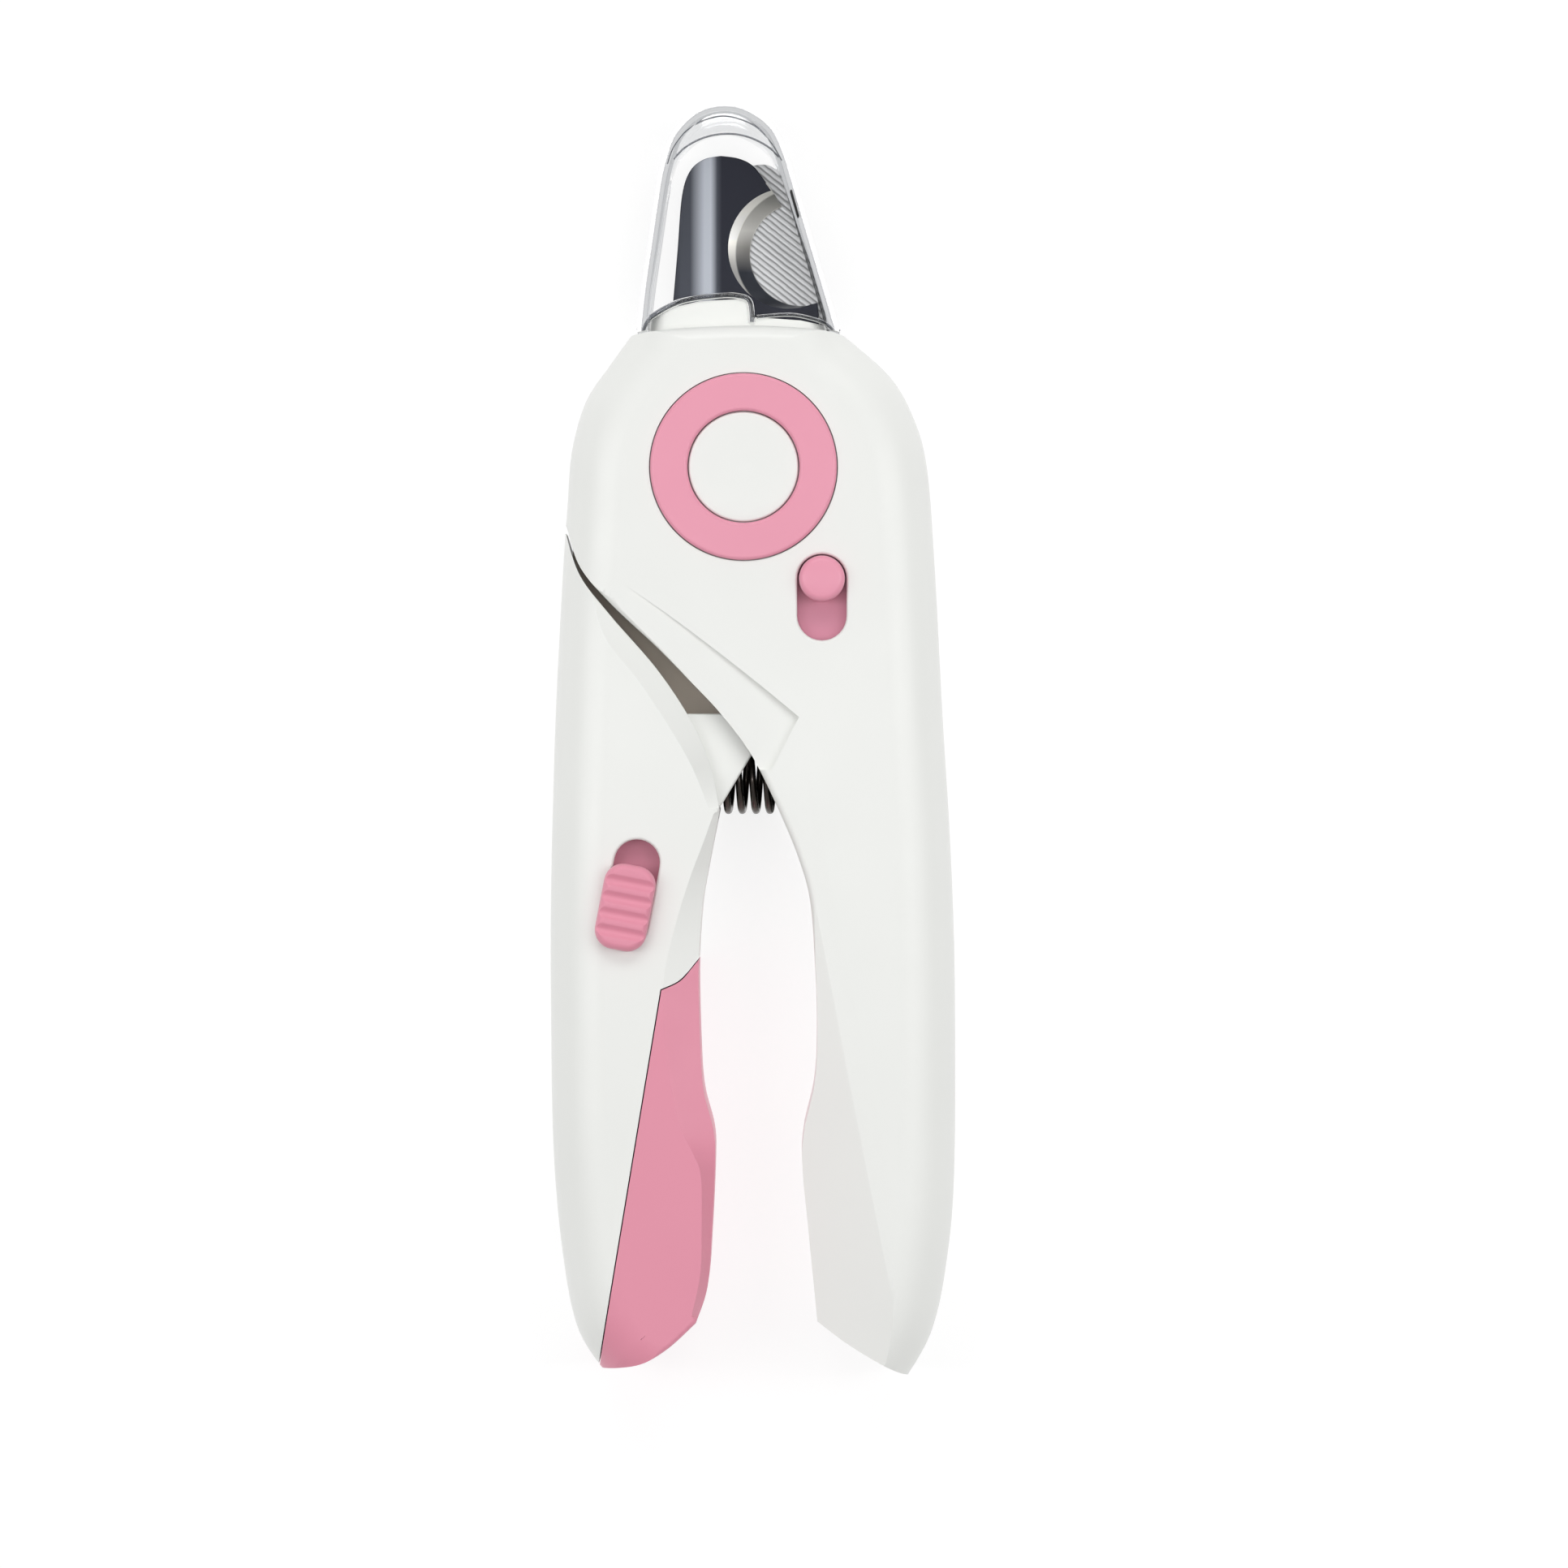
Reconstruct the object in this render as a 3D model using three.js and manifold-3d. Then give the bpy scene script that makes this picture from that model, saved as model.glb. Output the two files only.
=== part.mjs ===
// Scissor pet nail clipper: a housing with a fixed blade, a pivoting lever with a moving blade,
// a slide lock, a lamp with its switch, a return spring and a clear pull-off blade cover.
// Millimetres. It lies on its back: +Z is up out of the front face, +Y points to the blades,
// the pivot axis is the Z axis and the resting plane is z = 0.
import * as THREE from "three";
import { mergeVertices } from "three/addons/utils/BufferGeometryUtils.js";
import Module from "manifold-3d";

const wasm = await Module();
wasm.setup();

// Overall sizes. The outlines below are drawn for the nominal ones and scale with these.
const BODY_LENGTH = 145;
const BODY_WIDTH = 46.1;
const BODY_THICKNESS = 20.6;
const NOMINAL_LENGTH = 145;
const NOMINAL_WIDTH = 46.1;
const SCALE_X = BODY_WIDTH / NOMINAL_WIDTH;
const SCALE_Y = BODY_LENGTH / NOMINAL_LENGTH;

// Shells
const EDGE_ROUND = 6.4;
const ROUND_STEPS = 5;
const SHELL_WALL = 2;
const SEAM_BEVEL = 0.7;
const LEVER_BEVEL = 2.1;
const PARTING_Z = BODY_THICKNESS / 2 + 0.1;
const FRONT_Z = BODY_THICKNESS;
const PARTING_GAP = 0.05;
const SIDE_GAP = 0.3;
const FACET_BACKING = 2.2;
const OUTSIDE = 60;

// Blades and pivot
const BLADE_STEEL = 1.8;
const BLADE_GAP = 0.1;
const FIXED_BLADE_Z = PARTING_Z;
const MOVING_BLADE_Z = FIXED_BLADE_Z - BLADE_GAP - BLADE_STEEL;
const NOTCH_RADIUS = 5.9;
const NOTCH_BEVEL_RADIUS = 6.9;
const NOTCH_BEVEL_SHIFT = 1.4;
const NOTCH_LAND = 0.35;
const PIVOT_RADIUS = 2.5;
const PIVOT_CLEARANCE = 0.06;
const PIVOT_BOSS_RADIUS = 6;
const PIVOT_BOSS_Z = 4;
const PIVOT_FLOOR_Z = 1.5;
const ARM_Z = PIVOT_BOSS_Z + 0.2;
const ARM_TOP_Z = MOVING_BLADE_Z - BLADE_GAP;
const ARM_RADIUS = 8.4;
const WASHER_THICKNESS = 0.6;
const WASHER_RADIUS = 4.6;
const NUT_THICKNESS = 2.4;
const NUT_RADIUS = 4.4;
const PIN_TOP_SPARE = 0.6;

// Ring trim round the pivot
const RING_RADIUS = 10.6;
const RING_BORE = 6.35;
const RING_STAND = 0.45;
const RING_RECESS = 1.2;
const CAP_STAND = 0.15;
const TRIM_GAP = 0.12;

// Slide lock
const LOCK_X = 8.9;
const LOCK_TOP_Y = -12.7;
const LOCK_TRAVEL = 4.2;
const LOCK_SLOT_RADIUS = 2.8;
const KNOB_RADIUS = 2.6;
const KNOB_STAND = 1.5;
const CARRIER_THICKNESS = 1;
const CARRIER_GAP = 0.2;
const CARRIER_LAP = 0.9;
const BOLT_WIDTH = 2.4;
const BOLT_REACH = 9;
const BOLT_THICKNESS = 1.4;
const BOLT_GAP = 0.25;

// Lamp switch slider
const SLIDER_X = -13.1;
const SLIDER_Y = -50.1;
const SLIDER_TILT = THREE.MathUtils.degToRad(11);
const SLIDER_TRAVEL = 3.5;
const SLIDER_SLOT_RADIUS = 2.6;
const SLIDER_CAP_RADIUS = 3;
const SLIDER_CAP_LENGTH = 9.8;
const SLIDER_LAP = 0.4;
const SLIDER_CARRIER_GAP = 0.4;
const SLIDER_CAP_LIFT = 0.2;
const SLIDER_CAP_HEIGHT = 2;
const SLIDER_GROOVES = 4;
const SLIDER_GROOVE_PITCH = 1.9;
const SLIDER_GROOVE_RADIUS = 0.62;

// Fastenings
const SCREW_RADIUS = 1;
const SCREW_HEAD_RADIUS = 1.9;
const SCREW_HEAD_HEIGHT = 1.3;
const SCREW_SINK = 1.4;
const SCREW_CLEARANCE = 0.08;
const SCREW_POST_RADIUS = 2.4;
const SCREW_TIP_DEPTH = 5.1;
const SCREW_TIP_Z = FRONT_Z - SCREW_TIP_DEPTH;
const DRIVE_WIDTH = 0.5;
const DRIVE_DEPTH = 0.6;
const RIVET_RADIUS = 1.2;
const RIVET_HEAD_RADIUS = 1.9;

// Return spring
const SPRING_Y = -35.5;
const SPRING_LEFT_X = -6.2;
const SPRING_RIGHT_X = 9.8;
const SPRING_RADIUS = 3.55;
const SPRING_WIRE = 0.42;
const SPRING_TURNS = 9.5;
const SPRING_SEAT = 1.6;
const SPRING_SEAT_GAP = 0.15;
const SPRING_END = 0.5;
const SPRING_ROOM = 0.43;
const SPRING_Z = PARTING_Z - 0.4;
const SPRING_MOUTH_HALF = SPRING_RADIUS + SPRING_WIRE + SPRING_ROOM;
const SEAT_HALF = SPRING_MOUTH_HALF + 0.2;
const SEAT_SINK = 0.5;
const TONGUE_LOW_Z = FRONT_Z - 5.6;
const TONGUE_HIGH_Z = FRONT_Z - 3;
const SEAM_LIP_LOW_Z = PARTING_Z + 1.2;
const SEAM_LIP_HIGH_Z = PARTING_Z + 1.9;

// Lamp parts
const CELL_RADIUS = 5;
const CELL_HEIGHT = 2.5;
const CELL_X = -13.3;
const CELL_Y = -48.3;
const CELL_GAP = 0.1;
const CELL_ROOM = 0.3;
const DOOR_THICKNESS = 1.5;
const DOOR_GAP = 0.15;
const DOOR_SIDE_MARGIN = 0.8;
const DOOR_TOP_MARGIN = 1.8;
const DOOR_SCREW_INSET = 2.6;
const DOOR_BOSS_RADIUS = 1.6;
const DOOR_BOSS_GAP = 0.2;
const DOOR_BOSS_TOP_Z = 4.6;
const DOOR_SCREW_SINK = 0.15;
const DOOR_SCREW_HEAD_HEIGHT = 0.8;
const DOOR_SCREW_TIP_Z = DOOR_BOSS_TOP_Z + 0.6;
const CELL_Z = DOOR_THICKNESS + 0.5;
const BOARD_THICKNESS = 1;
const BOARD_DEPTH = 8;
const BOARD_Z = FRONT_Z - BOARD_DEPTH;
const SWITCH_HEIGHT = 2;
const SOLDER_GAP = 0.1;
const LED_RADIUS = 1.5;
const LED_DOME = 1.2;
const LED_LENGTH = 4.8;
const LED_X = 1.5;
const LED_Y = 13.4;
const LED_TAIL = 2.6;
const LAMP_ROOM = 0.8;
const LED_Z = ARM_TOP_Z - LED_RADIUS - 0.6;

// Clear blade cover
const COVER_WALL = 1.2;
const COVER_DEPTH = 12;
const COVER_BACK_Z = PARTING_Z - COVER_DEPTH / 2;
const COVER_FRONT_Z = PARTING_Z + COVER_DEPTH / 2;
const COVER_ROUND = 3.6;
const COVER_BASE_Y = 15.5;
const COVER_SLOT_TOP_Y = 39;
const COLLAR_GAP = 0.25;
const BLADE_SLOT_MARGIN = 0.3;

const v2 = (x, y) => new THREE.Vector2(x, y);
const plan = (x, y) => v2(x * SCALE_X, y * SCALE_Y);

// A smooth run of points through the listed plan positions.
function run(positions, count) {
  const curve = new THREE.SplineCurve(positions.map(([x, y]) => plan(x, y)));
  return curve.getSpacedPoints(count);
}

// Solids -------------------------------------------------------------------------------------

function solid(geometry) {
  const bare = geometry.index ? geometry.toNonIndexed() : geometry.clone();
  bare.deleteAttribute("normal");
  bare.deleteAttribute("uv");
  const merged = mergeVertices(bare, 1e-4);
  const mesh = new wasm.Mesh({
    numProp: 3,
    vertProperties: merged.attributes.position.array,
    triVerts: new Uint32Array(merged.index.array),
  });
  return new wasm.Manifold(mesh);
}

function geometryOf(body) {
  const mesh = body.getMesh();
  const positions = new Float32Array(mesh.numVert * 3);
  for (let i = 0; i < mesh.numVert; i++) {
    const start = i * mesh.numProp;
    positions.set(mesh.vertProperties.subarray(start, start + 3), i * 3);
  }
  const geometry = new THREE.BufferGeometry();
  geometry.setAttribute("position", new THREE.BufferAttribute(positions, 3));
  geometry.setIndex(new THREE.BufferAttribute(mesh.triVerts, 1));
  const faceted = geometry.toNonIndexed();
  faceted.computeVertexNormals();
  return faceted;
}

function prism(points, low, high) {
  const settings = { depth: high - low, bevelEnabled: false };
  const geometry = new THREE.ExtrudeGeometry(new THREE.Shape(points), settings);
  return solid(geometry.translate(0, 0, low));
}

// A prism whose top and bottom edges are rounded, or chamfered when steps is 1.
function roundedPrism(points, low, high, round, steps) {
  const geometry = new THREE.ExtrudeGeometry(new THREE.Shape(points), {
    depth: high - low - 2 * round,
    bevelEnabled: true,
    bevelSize: round,
    bevelThickness: round,
    bevelOffset: -round,
    bevelSegments: steps,
  });
  return solid(geometry.translate(0, 0, low + round));
}

function block(lowX, highX, lowY, highY, lowZ, highZ) {
  const geometry = new THREE.BoxGeometry(highX - lowX, highY - lowY, highZ - lowZ);
  geometry.translate((lowX + highX) / 2, (lowY + highY) / 2, (lowZ + highZ) / 2);
  return solid(geometry);
}

function disc(x, y, radius, low, high, sides = 32) {
  const geometry = new THREE.CylinderGeometry(radius, radius, high - low, sides);
  geometry.rotateX(Math.PI / 2).translate(x, y, (low + high) / 2);
  return solid(geometry);
}

// Everything on the outer side of a plane through a point.
function halfSpace(point, normal) {
  const size = 8 * OUTSIDE;
  const geometry = new THREE.BoxGeometry(size, size, size).translate(0, 0, size / 2);
  const turn = new THREE.Quaternion().setFromUnitVectors(
    new THREE.Vector3(0, 0, 1),
    normal.clone().normalize(),
  );
  geometry.applyQuaternion(turn).translate(point.x, point.y, point.z);
  return solid(geometry);
}

function stadiumPoints(radius, halfLength, sides = 10) {
  const points = [];
  for (const end of [1, -1]) {
    for (let i = 0; i <= sides; i++) {
      const angle = (Math.PI * i) / sides + (end > 0 ? 0 : Math.PI);
      points.push(v2(radius * Math.cos(angle), end * halfLength + radius * Math.sin(angle)));
    }
  }
  return points;
}

function movedPoints(points, x, y, angle = 0) {
  return points.map((p) => p.clone().rotateAround(v2(0, 0), angle).add(v2(x, y)));
}

// Moves every corner of a counter-clockwise outline inwards.
function inset(points, distance) {
  return points.map((p, i) => {
    const before = points[(i + points.length - 1) % points.length];
    const after = points[(i + 1) % points.length];
    const first = v2(p.x - before.x, p.y - before.y).normalize();
    const second = v2(after.x - p.x, after.y - p.y).normalize();
    const normal = v2(-first.y - second.y, first.x + second.x).normalize();
    const lean = Math.max(0.5, -first.y * normal.x + first.x * normal.y);
    return v2(p.x + (normal.x * distance) / lean, p.y + (normal.y * distance) / lean);
  });
}

// Outlines -----------------------------------------------------------------------------------

// The whole body seen from the front, counter-clockwise, without the gap between the handles.
// Its neck runs on past the housing's upper edge, so the edge rounding flows into the collar.
function bodyOutline() {
  const leftSide = [
    [-12.8, 15.2], [-15.2, 11.9], [-18, 7.7], [-19.6, 2.1], [-20.1, -4], [-20.7, -13],
    [-21.5, -29], [-22, -48], [-22, -62], [-21.7, -78], [-20.6, -90], [-18.9, -98.2], [-15.6, -103.4],
  ];
  const base = [[-15.6, -103.4], [-8, -107.5], [2, -109], [11, -108], [18.4, -104]];
  const rightSide = [
    [18.4, -104], [21.4, -98.6], [23.1, -91], [24.05, -80], [24.1, -58], [23.6, -43], [22.7, -28],
    [21.8, -11], [20.9, 0.3], [19.3, 6], [16.6, 10.6], [11.4, 15.2],
  ];
  const neck = [plan(9.4, 20), plan(7.4, 27), plan(-8.6, 27), plan(-10.8, 20)];
  return [
    ...run(leftSide, 26).slice(0, -1),
    ...run(base, 6).slice(0, -1),
    ...run(rightSide, 26),
    ...neck,
  ];
}

function body(shrink) {
  const round = EDGE_ROUND - shrink;
  return roundedPrism(inset(bodyOutline(), shrink), shrink, FRONT_Z - shrink, round, ROUND_STEPS);
}

const SEAM = [
  [3.9, -38.7], [0.9, -32.7], [-2.6, -28], [-6.1, -24.3], [-9.9, -20.4], [-15.1, -15.5],
  [-18.6, -11.3], [-20.2, -6.6],
];
const ARCH = [
  [8.4, -97.2], [7.4, -87.1], [6.7, -79.6], [6.9, -75.4], [8.1, -69.9], [8.4, -64], [8.2, -57.3],
  [7.6, -49.4], [6.1, -44], [3.9, -38.7],
];

// Housing and right handle; the outer sides run past the body, which trims them.
function housingOutline() {
  const foot = [[19.4, -103.6], [16.9, -102.6], [12.1, -99.9], [8.4, -97.2]];
  return [
    plan(OUTSIDE, 15.2),
    plan(-OUTSIDE, 15.2),
    plan(-OUTSIDE, -6.2),
    ...run(SEAM, 16).reverse(),
    ...run(ARCH, 22).reverse().slice(1),
    ...run(foot, 5).reverse().slice(1),
    plan(OUTSIDE, -104),
  ];
}

function leverOutline() {
  const shoulder = [
    [-2.7, -38.9], [-3.9, -33.6], [-6.1, -28.6], [-9.9, -22.9], [-15.1, -16.9], [-18.6, -12.3],
    [-20.3, -7.4],
  ];
  const innerEdge = [
    [-5.4, -97.2], [-4.1, -93.2], [-3.6, -87], [-3.25, -79], [-3.4, -75.4], [-4.5, -71], [-4.9, -66],
    [-5.1, -57], [-4.7, -50], [-4, -45.6], [-2.7, -38.9],
  ];
  const foot = [[-16.4, -102.6], [-12, -102], [-8.7, -100.2], [-5.4, -97.2]];
  return [
    plan(-OUTSIDE, -7),
    plan(-OUTSIDE, -102.8),
    ...run(foot, 6),
    ...run(innerEdge, 22).slice(1),
    ...run(shoulder, 14).slice(1),
  ];
}

// The soft grip: the lower inner part of the lever.
function gripOutline(grow) {
  const topEdge = run([[-9.3, -59.4], [-7.2, -58.4], [-5.6, -56.6], [-3, -53.4]], 5);
  const outline = [
    ...topEdge,
    plan(OUTSIDE, -53),
    plan(OUTSIDE, -110),
    plan(-17.7, -110),
  ];
  return inset(outline.reverse(), -grow);
}

// Common details ------------------------------------------------------------------------------

const HOUSING_SCREWS = [[-15.1, 2.6], [16.4, 4.2], [16.4, -34], [16.4, -60], [16.2, -88]];
const LEVER_SCREWS = [[-17.1, -23.5], [-16.4, -66], [-17.4, -88]];

const screwPlace = ([x, y]) => plan(x, y);

function screwPosts(places, low, high, trim) {
  return places.map((place) => {
    const at = screwPlace(place);
    return disc(at.x, at.y, SCREW_POST_RADIUS, low, high, 20).intersect(trim);
  });
}

function withScrewPosts(shell, places, low, high, trim) {
  return screwPosts(places, low, high, trim).reduce((sum, post) => sum.add(post), shell);
}

function withoutScrewHoles(shell, places) {
  const hole = SCREW_RADIUS + SCREW_CLEARANCE;
  const sink = SCREW_HEAD_RADIUS + SCREW_CLEARANCE * 2;
  return places.reduce((left, place) => {
    const at = screwPlace(place);
    const shank = disc(at.x, at.y, hole, -1, SCREW_TIP_Z + SCREW_CLEARANCE, 12);
    const head = disc(at.x, at.y, sink, -1, SCREW_SINK + SCREW_HEAD_HEIGHT, 18);
    return left.subtract(shank).subtract(head);
  }, shell);
}

function screw(x, y, headLow, tip) {
  const headTop = headLow + SCREW_HEAD_HEIGHT - SCREW_CLEARANCE;
  const head = disc(x, y, SCREW_HEAD_RADIUS, headLow, headTop, 18);
  const shank = disc(x, y, SCREW_RADIUS, headLow, tip, 12);
  const arm = SCREW_HEAD_RADIUS * 0.65;
  const half = DRIVE_WIDTH / 2;
  const across = block(x - arm, x + arm, y - half, y + half, headLow - 1, headLow + DRIVE_DEPTH);
  const along = block(x - half, x + half, y - arm, y + arm, headLow - 1, headLow + DRIVE_DEPTH);
  return head.add(shank).subtract(across).subtract(along);
}

// Housing -------------------------------------------------------------------------------------

// The hollow inside the housing; it runs out through the seam so that the lever can enter.
function housingHollow() {
  const outline = inset(housingOutline(), SHELL_WALL);
  const kept = body(SHELL_WALL).intersect(prism(outline, -1, FRONT_Z + 1));
  return kept.subtract(handleFacet(FACET_BACKING)).add(seamMouth()).add(lipSlot());
}

// Low down the whole seam is open for the lever's arm and lip, higher up only its lower end is.
function seamMouth() {
  const upper = [
    plan(-OUTSIDE, -7.4),
    plan(-OUTSIDE, -30),
    plan(6.6, -30),
    plan(3, -20),
    plan(-10, -12),
    plan(-17.4, -7.4),
  ];
  const lower = [
    plan(-OUTSIDE, -26.8),
    plan(-OUTSIDE, -30),
    plan(-4, -41.2),
    plan(9.4, -41.2),
    plan(9.6, -36),
    plan(5.8, -26.8),
  ];
  const lipRoom = prism(upper, SHELL_WALL, SEAM_LIP_HIGH_Z + SIDE_GAP);
  return lipRoom.add(prism(lower, SHELL_WALL, FRONT_Z - SHELL_WALL));
}

// The slot in the housing's left side that the lever's lip swings through.
function lipSlot() {
  const points = [plan(-OUTSIDE, -9), plan(-16.9, -9), plan(-16.9, -1.7), plan(-OUTSIDE, -1.7)];
  return prism(points, SEAM_LIP_LOW_Z - SIDE_GAP, SEAM_LIP_HIGH_Z + SIDE_GAP);
}

// The slanted face along the right handle's inner side, or a layer that far below it.
function handleFacet(below = 0) {
  const top = plan(8.2, -50);
  const end = plan(18.7, -103.4);
  const along = new THREE.Vector3(end.x - top.x, end.y - top.y, 0).normalize();
  const inward = new THREE.Vector3(along.y, -along.x, 0);
  const fall = 0.42;
  const normal = new THREE.Vector3(inward.x * fall, inward.y * fall, 1);
  const zone = [plan(-OUTSIDE, -47.5), plan(-OUTSIDE, -120), plan(OUTSIDE, -120), plan(OUTSIDE, -47.5)];
  const cut = halfSpace(new THREE.Vector3(top.x, top.y, FRONT_Z - below), normal);
  return cut.intersect(prism(zone, PARTING_Z - below, FRONT_Z + 5));
}

// A shallow swept relief above the seam, deepest at its lower corner.
function sweptRelief() {
  const crest = run([[-13.2, -13.6], [-8.8, -16.6], [-4.6, -19.7], [1.2, -24.2], [6.3, -28.4]], 8);
  const zone = [...crest, plan(3.2, -34.4), plan(-20, -34), plan(-26, -13)];
  const start = plan(-13.2, -13.6);
  const normal = new THREE.Vector3(0.042, -0.034, 1);
  const cut = halfSpace(new THREE.Vector3(start.x, start.y, FRONT_Z), normal);
  return cut.intersect(prism(zone.reverse(), PARTING_Z, FRONT_Z + 5));
}

function lockSlot(low, high) {
  const half = LOCK_TRAVEL / 2;
  const at = plan(LOCK_X, LOCK_TOP_Y);
  return prism(movedPoints(stadiumPoints(LOCK_SLOT_RADIUS, half), at.x, at.y - half), low, high);
}

// The collar that the blade cover slides over: high on the left, low on the right.
function collarOutline() {
  return [
    plan(-11, 12),
    plan(10, 12),
    plan(9.9, 16.2),
    plan(6.5, 16.9),
    plan(0.9, 17.3),
    plan(0.5, 19.4),
    plan(-5, 19.1),
    plan(-9, 18.2),
    plan(-10.7, 17),
  ];
}

const COLLAR_LOW_Z = COVER_BACK_Z + COVER_WALL + COLLAR_GAP;
const COLLAR_HIGH_Z = COVER_FRONT_Z - COVER_WALL - COLLAR_GAP;

function collar() {
  const outline = inset(coverOutline(), COVER_WALL + COLLAR_GAP);
  const round = COVER_ROUND - COVER_WALL - COLLAR_GAP;
  const whole = roundedPrism(outline, COLLAR_LOW_Z, COLLAR_HIGH_Z, round, 4);
  return whole.intersect(prism(collarOutline(), 0, FRONT_Z));
}

// The way through the collar for the blades and the lamp.
function neckPassage() {
  const bladeLow = MOVING_BLADE_Z - BLADE_SLOT_MARGIN;
  const bladeHigh = FIXED_BLADE_Z + BLADE_STEEL + BLADE_SLOT_MARGIN;
  const blades = prism(
    [plan(-8.9, 8), plan(12, 8), plan(12, 30), plan(-8.9, 30)],
    bladeLow,
    bladeHigh,
  );
  const swing = prism(
    [plan(0, 4.5), plan(30, 4.5), plan(30, 30), plan(0, 30)],
    bladeLow,
    PARTING_Z,
  );
  const lamp = prism(
    [plan(-3.5, 8), plan(12.5, 8), plan(12.5, 30), plan(-3.5, 30)],
    LED_Z - LED_RADIUS - LAMP_ROOM,
    bladeLow + 1,
  );
  return blades.add(swing).add(lamp);
}

function housingSolid() {
  return body(0).intersect(
    roundedPrism(housingOutline(), 0, FRONT_Z, SEAM_BEVEL, 2),
  );
}

function frontHalf(shape) {
  return shape.intersect(block(-200, 200, -200, 200, PARTING_Z + PARTING_GAP, 100));
}

function backHalf(shape) {
  return shape.intersect(block(-200, 200, -200, 200, -100, PARTING_Z - PARTING_GAP));
}

// Pegs that locate the fixed blade's tang, hanging from the front shell.
const TANG_PEGS = [[9.6, 1.5], [13.2, -26.9]];

function housingFront() {
  const boss = disc(0, 0, PIVOT_BOSS_RADIUS, nutTop() + 0.4, FRONT_Z - 1);
  let shell = housingSolid().subtract(housingHollow()).add(collar());
  shell = shell.add(boss).subtract(disc(0, 0, NUT_RADIUS + 0.3, 0, nutTop() + 1.4));
  shell = withScrewPosts(shell, HOUSING_SCREWS, PARTING_Z, FRONT_Z - 1, body(1));
  shell = frontHalf(shell.subtract(neckPassage()));
  for (const [x, y] of TANG_PEGS) {
    const at = plan(x, y);
    shell = shell.add(disc(at.x, at.y, 1.6, FIXED_BLADE_Z + BLADE_STEEL + 0.1, FRONT_Z - 1, 16));
    shell = shell.add(disc(at.x, at.y, 0.9, FIXED_BLADE_Z + 0.3, FRONT_Z - 1, 16));
  }
  shell = shell.subtract(disc(0, 0, RING_RADIUS + TRIM_GAP, FRONT_Z - RING_RECESS, 50, 64));
  shell = shell.subtract(handleFacet()).subtract(sweptRelief()).subtract(lockSlot(0, 50));
  return withoutScrewHoles(shell, HOUSING_SCREWS);
}

// The wall that takes the spring's right end.
function springStop() {
  const at = plan(SPRING_RIGHT_X, SPRING_Y);
  const left = at.x + SPRING_SEAT_GAP;
  return block(
    left,
    left + SPRING_SEAT,
    at.y - SEAT_HALF,
    at.y + SEAT_HALF,
    SHELL_WALL - SEAT_SINK,
    PARTING_Z - SIDE_GAP,
  );
}

function housingBack() {
  const boss = disc(0, 0, PIVOT_BOSS_RADIUS, 1, PIVOT_BOSS_Z);
  const pinHole = disc(0, 0, PIVOT_RADIUS + 0.02, PIVOT_FLOOR_Z, PARTING_Z);
  let shell = housingSolid().subtract(housingHollow()).add(collar());
  shell = withScrewPosts(shell, HOUSING_SCREWS, 1, PARTING_Z, body(1));
  shell = backHalf(shell.subtract(neckPassage())).add(boss).add(springStop());
  return withoutScrewHoles(shell.subtract(pinHole), HOUSING_SCREWS);
}

// Lever ---------------------------------------------------------------------------------------

function leverSolid() {
  return body(0).intersect(roundedPrism(leverOutline(), 0, FRONT_Z, LEVER_BEVEL, 2));
}

function leverHollow() {
  const outline = inset(leverOutline(), SHELL_WALL);
  const whole = body(SHELL_WALL).intersect(
    roundedPrism(outline, SHELL_WALL, FRONT_Z - SHELL_WALL, LEVER_BEVEL * 0.6, 1),
  );
  const gripSide = prism(gripOutline(SHELL_WALL), -1, FRONT_Z + 1);
  return whole.subtract(gripSide);
}

// The opening in the lever's inner side where the spring goes in.
function springMouth() {
  const at = plan(SPRING_LEFT_X, SPRING_Y);
  const half = SPRING_MOUTH_HALF;
  return block(at.x - SIDE_GAP, 6, at.y - half, at.y + half, SPRING_Z - half, SPRING_Z + half);
}

function armOutline() {
  const left = [[-8.2, 1], [-9.4, -6], [-11.4, -13], [-13.6, -21], [-14.6, -30]];
  const right = [[-8.8, -31.5], [-7.6, -24], [-5, -16], [-1, -9]];
  return [...run(left, 8), ...run(right, 8), plan(3, -4), plan(3, 4), plan(-3, 5)];
}

// A thin floor that closes the view through the gap between the lever and the housing.
function leverWeb() {
  const points = [
    plan(-13.5, -13),
    plan(-16.5, -15.5),
    plan(-14, -24),
    plan(-8, -34),
    plan(-3, -37.4),
    plan(1.5, -30),
    plan(0.5, -22),
    plan(-3, -14),
    plan(-9, -12),
  ];
  return prism(points, SHELL_WALL + 0.4, ARM_Z + 0.1);
}

function ledHolderOutline() {
  return [plan(-1.6, 4), plan(4.6, 4), plan(4.6, 13), plan(-1.6, 13)];
}

function ledSocket() {
  const geometry = new THREE.CylinderGeometry(LED_RADIUS + 0.1, LED_RADIUS + 0.1, 8, 20);
  const at = plan(LED_X, LED_Y);
  return solid(geometry.translate(at.x, at.y, LED_Z));
}

const RIVETS = [[-10.2, -17.5], [-12.8, -27.5]];

function leverArm() {
  const bar = prism(armOutline(), ARM_Z, ARM_TOP_Z);
  const eye = disc(0, 0, ARM_RADIUS, ARM_Z, ARM_TOP_Z, 40);
  const holder = prism(ledHolderOutline(), ARM_Z, ARM_TOP_Z);
  const hole = disc(0, 0, PIVOT_RADIUS + PIVOT_CLEARANCE, 0, FRONT_Z, 32);
  return bar.add(eye).add(holder).subtract(hole).subtract(ledSocket());
}

function rivetHoles(shape) {
  return RIVETS.reduce((left, [x, y]) => {
    const at = plan(x, y);
    return left.subtract(disc(at.x, at.y, RIVET_RADIUS + 0.05, 2.2, FRONT_Z - 3, 16));
  }, shape);
}

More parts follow.
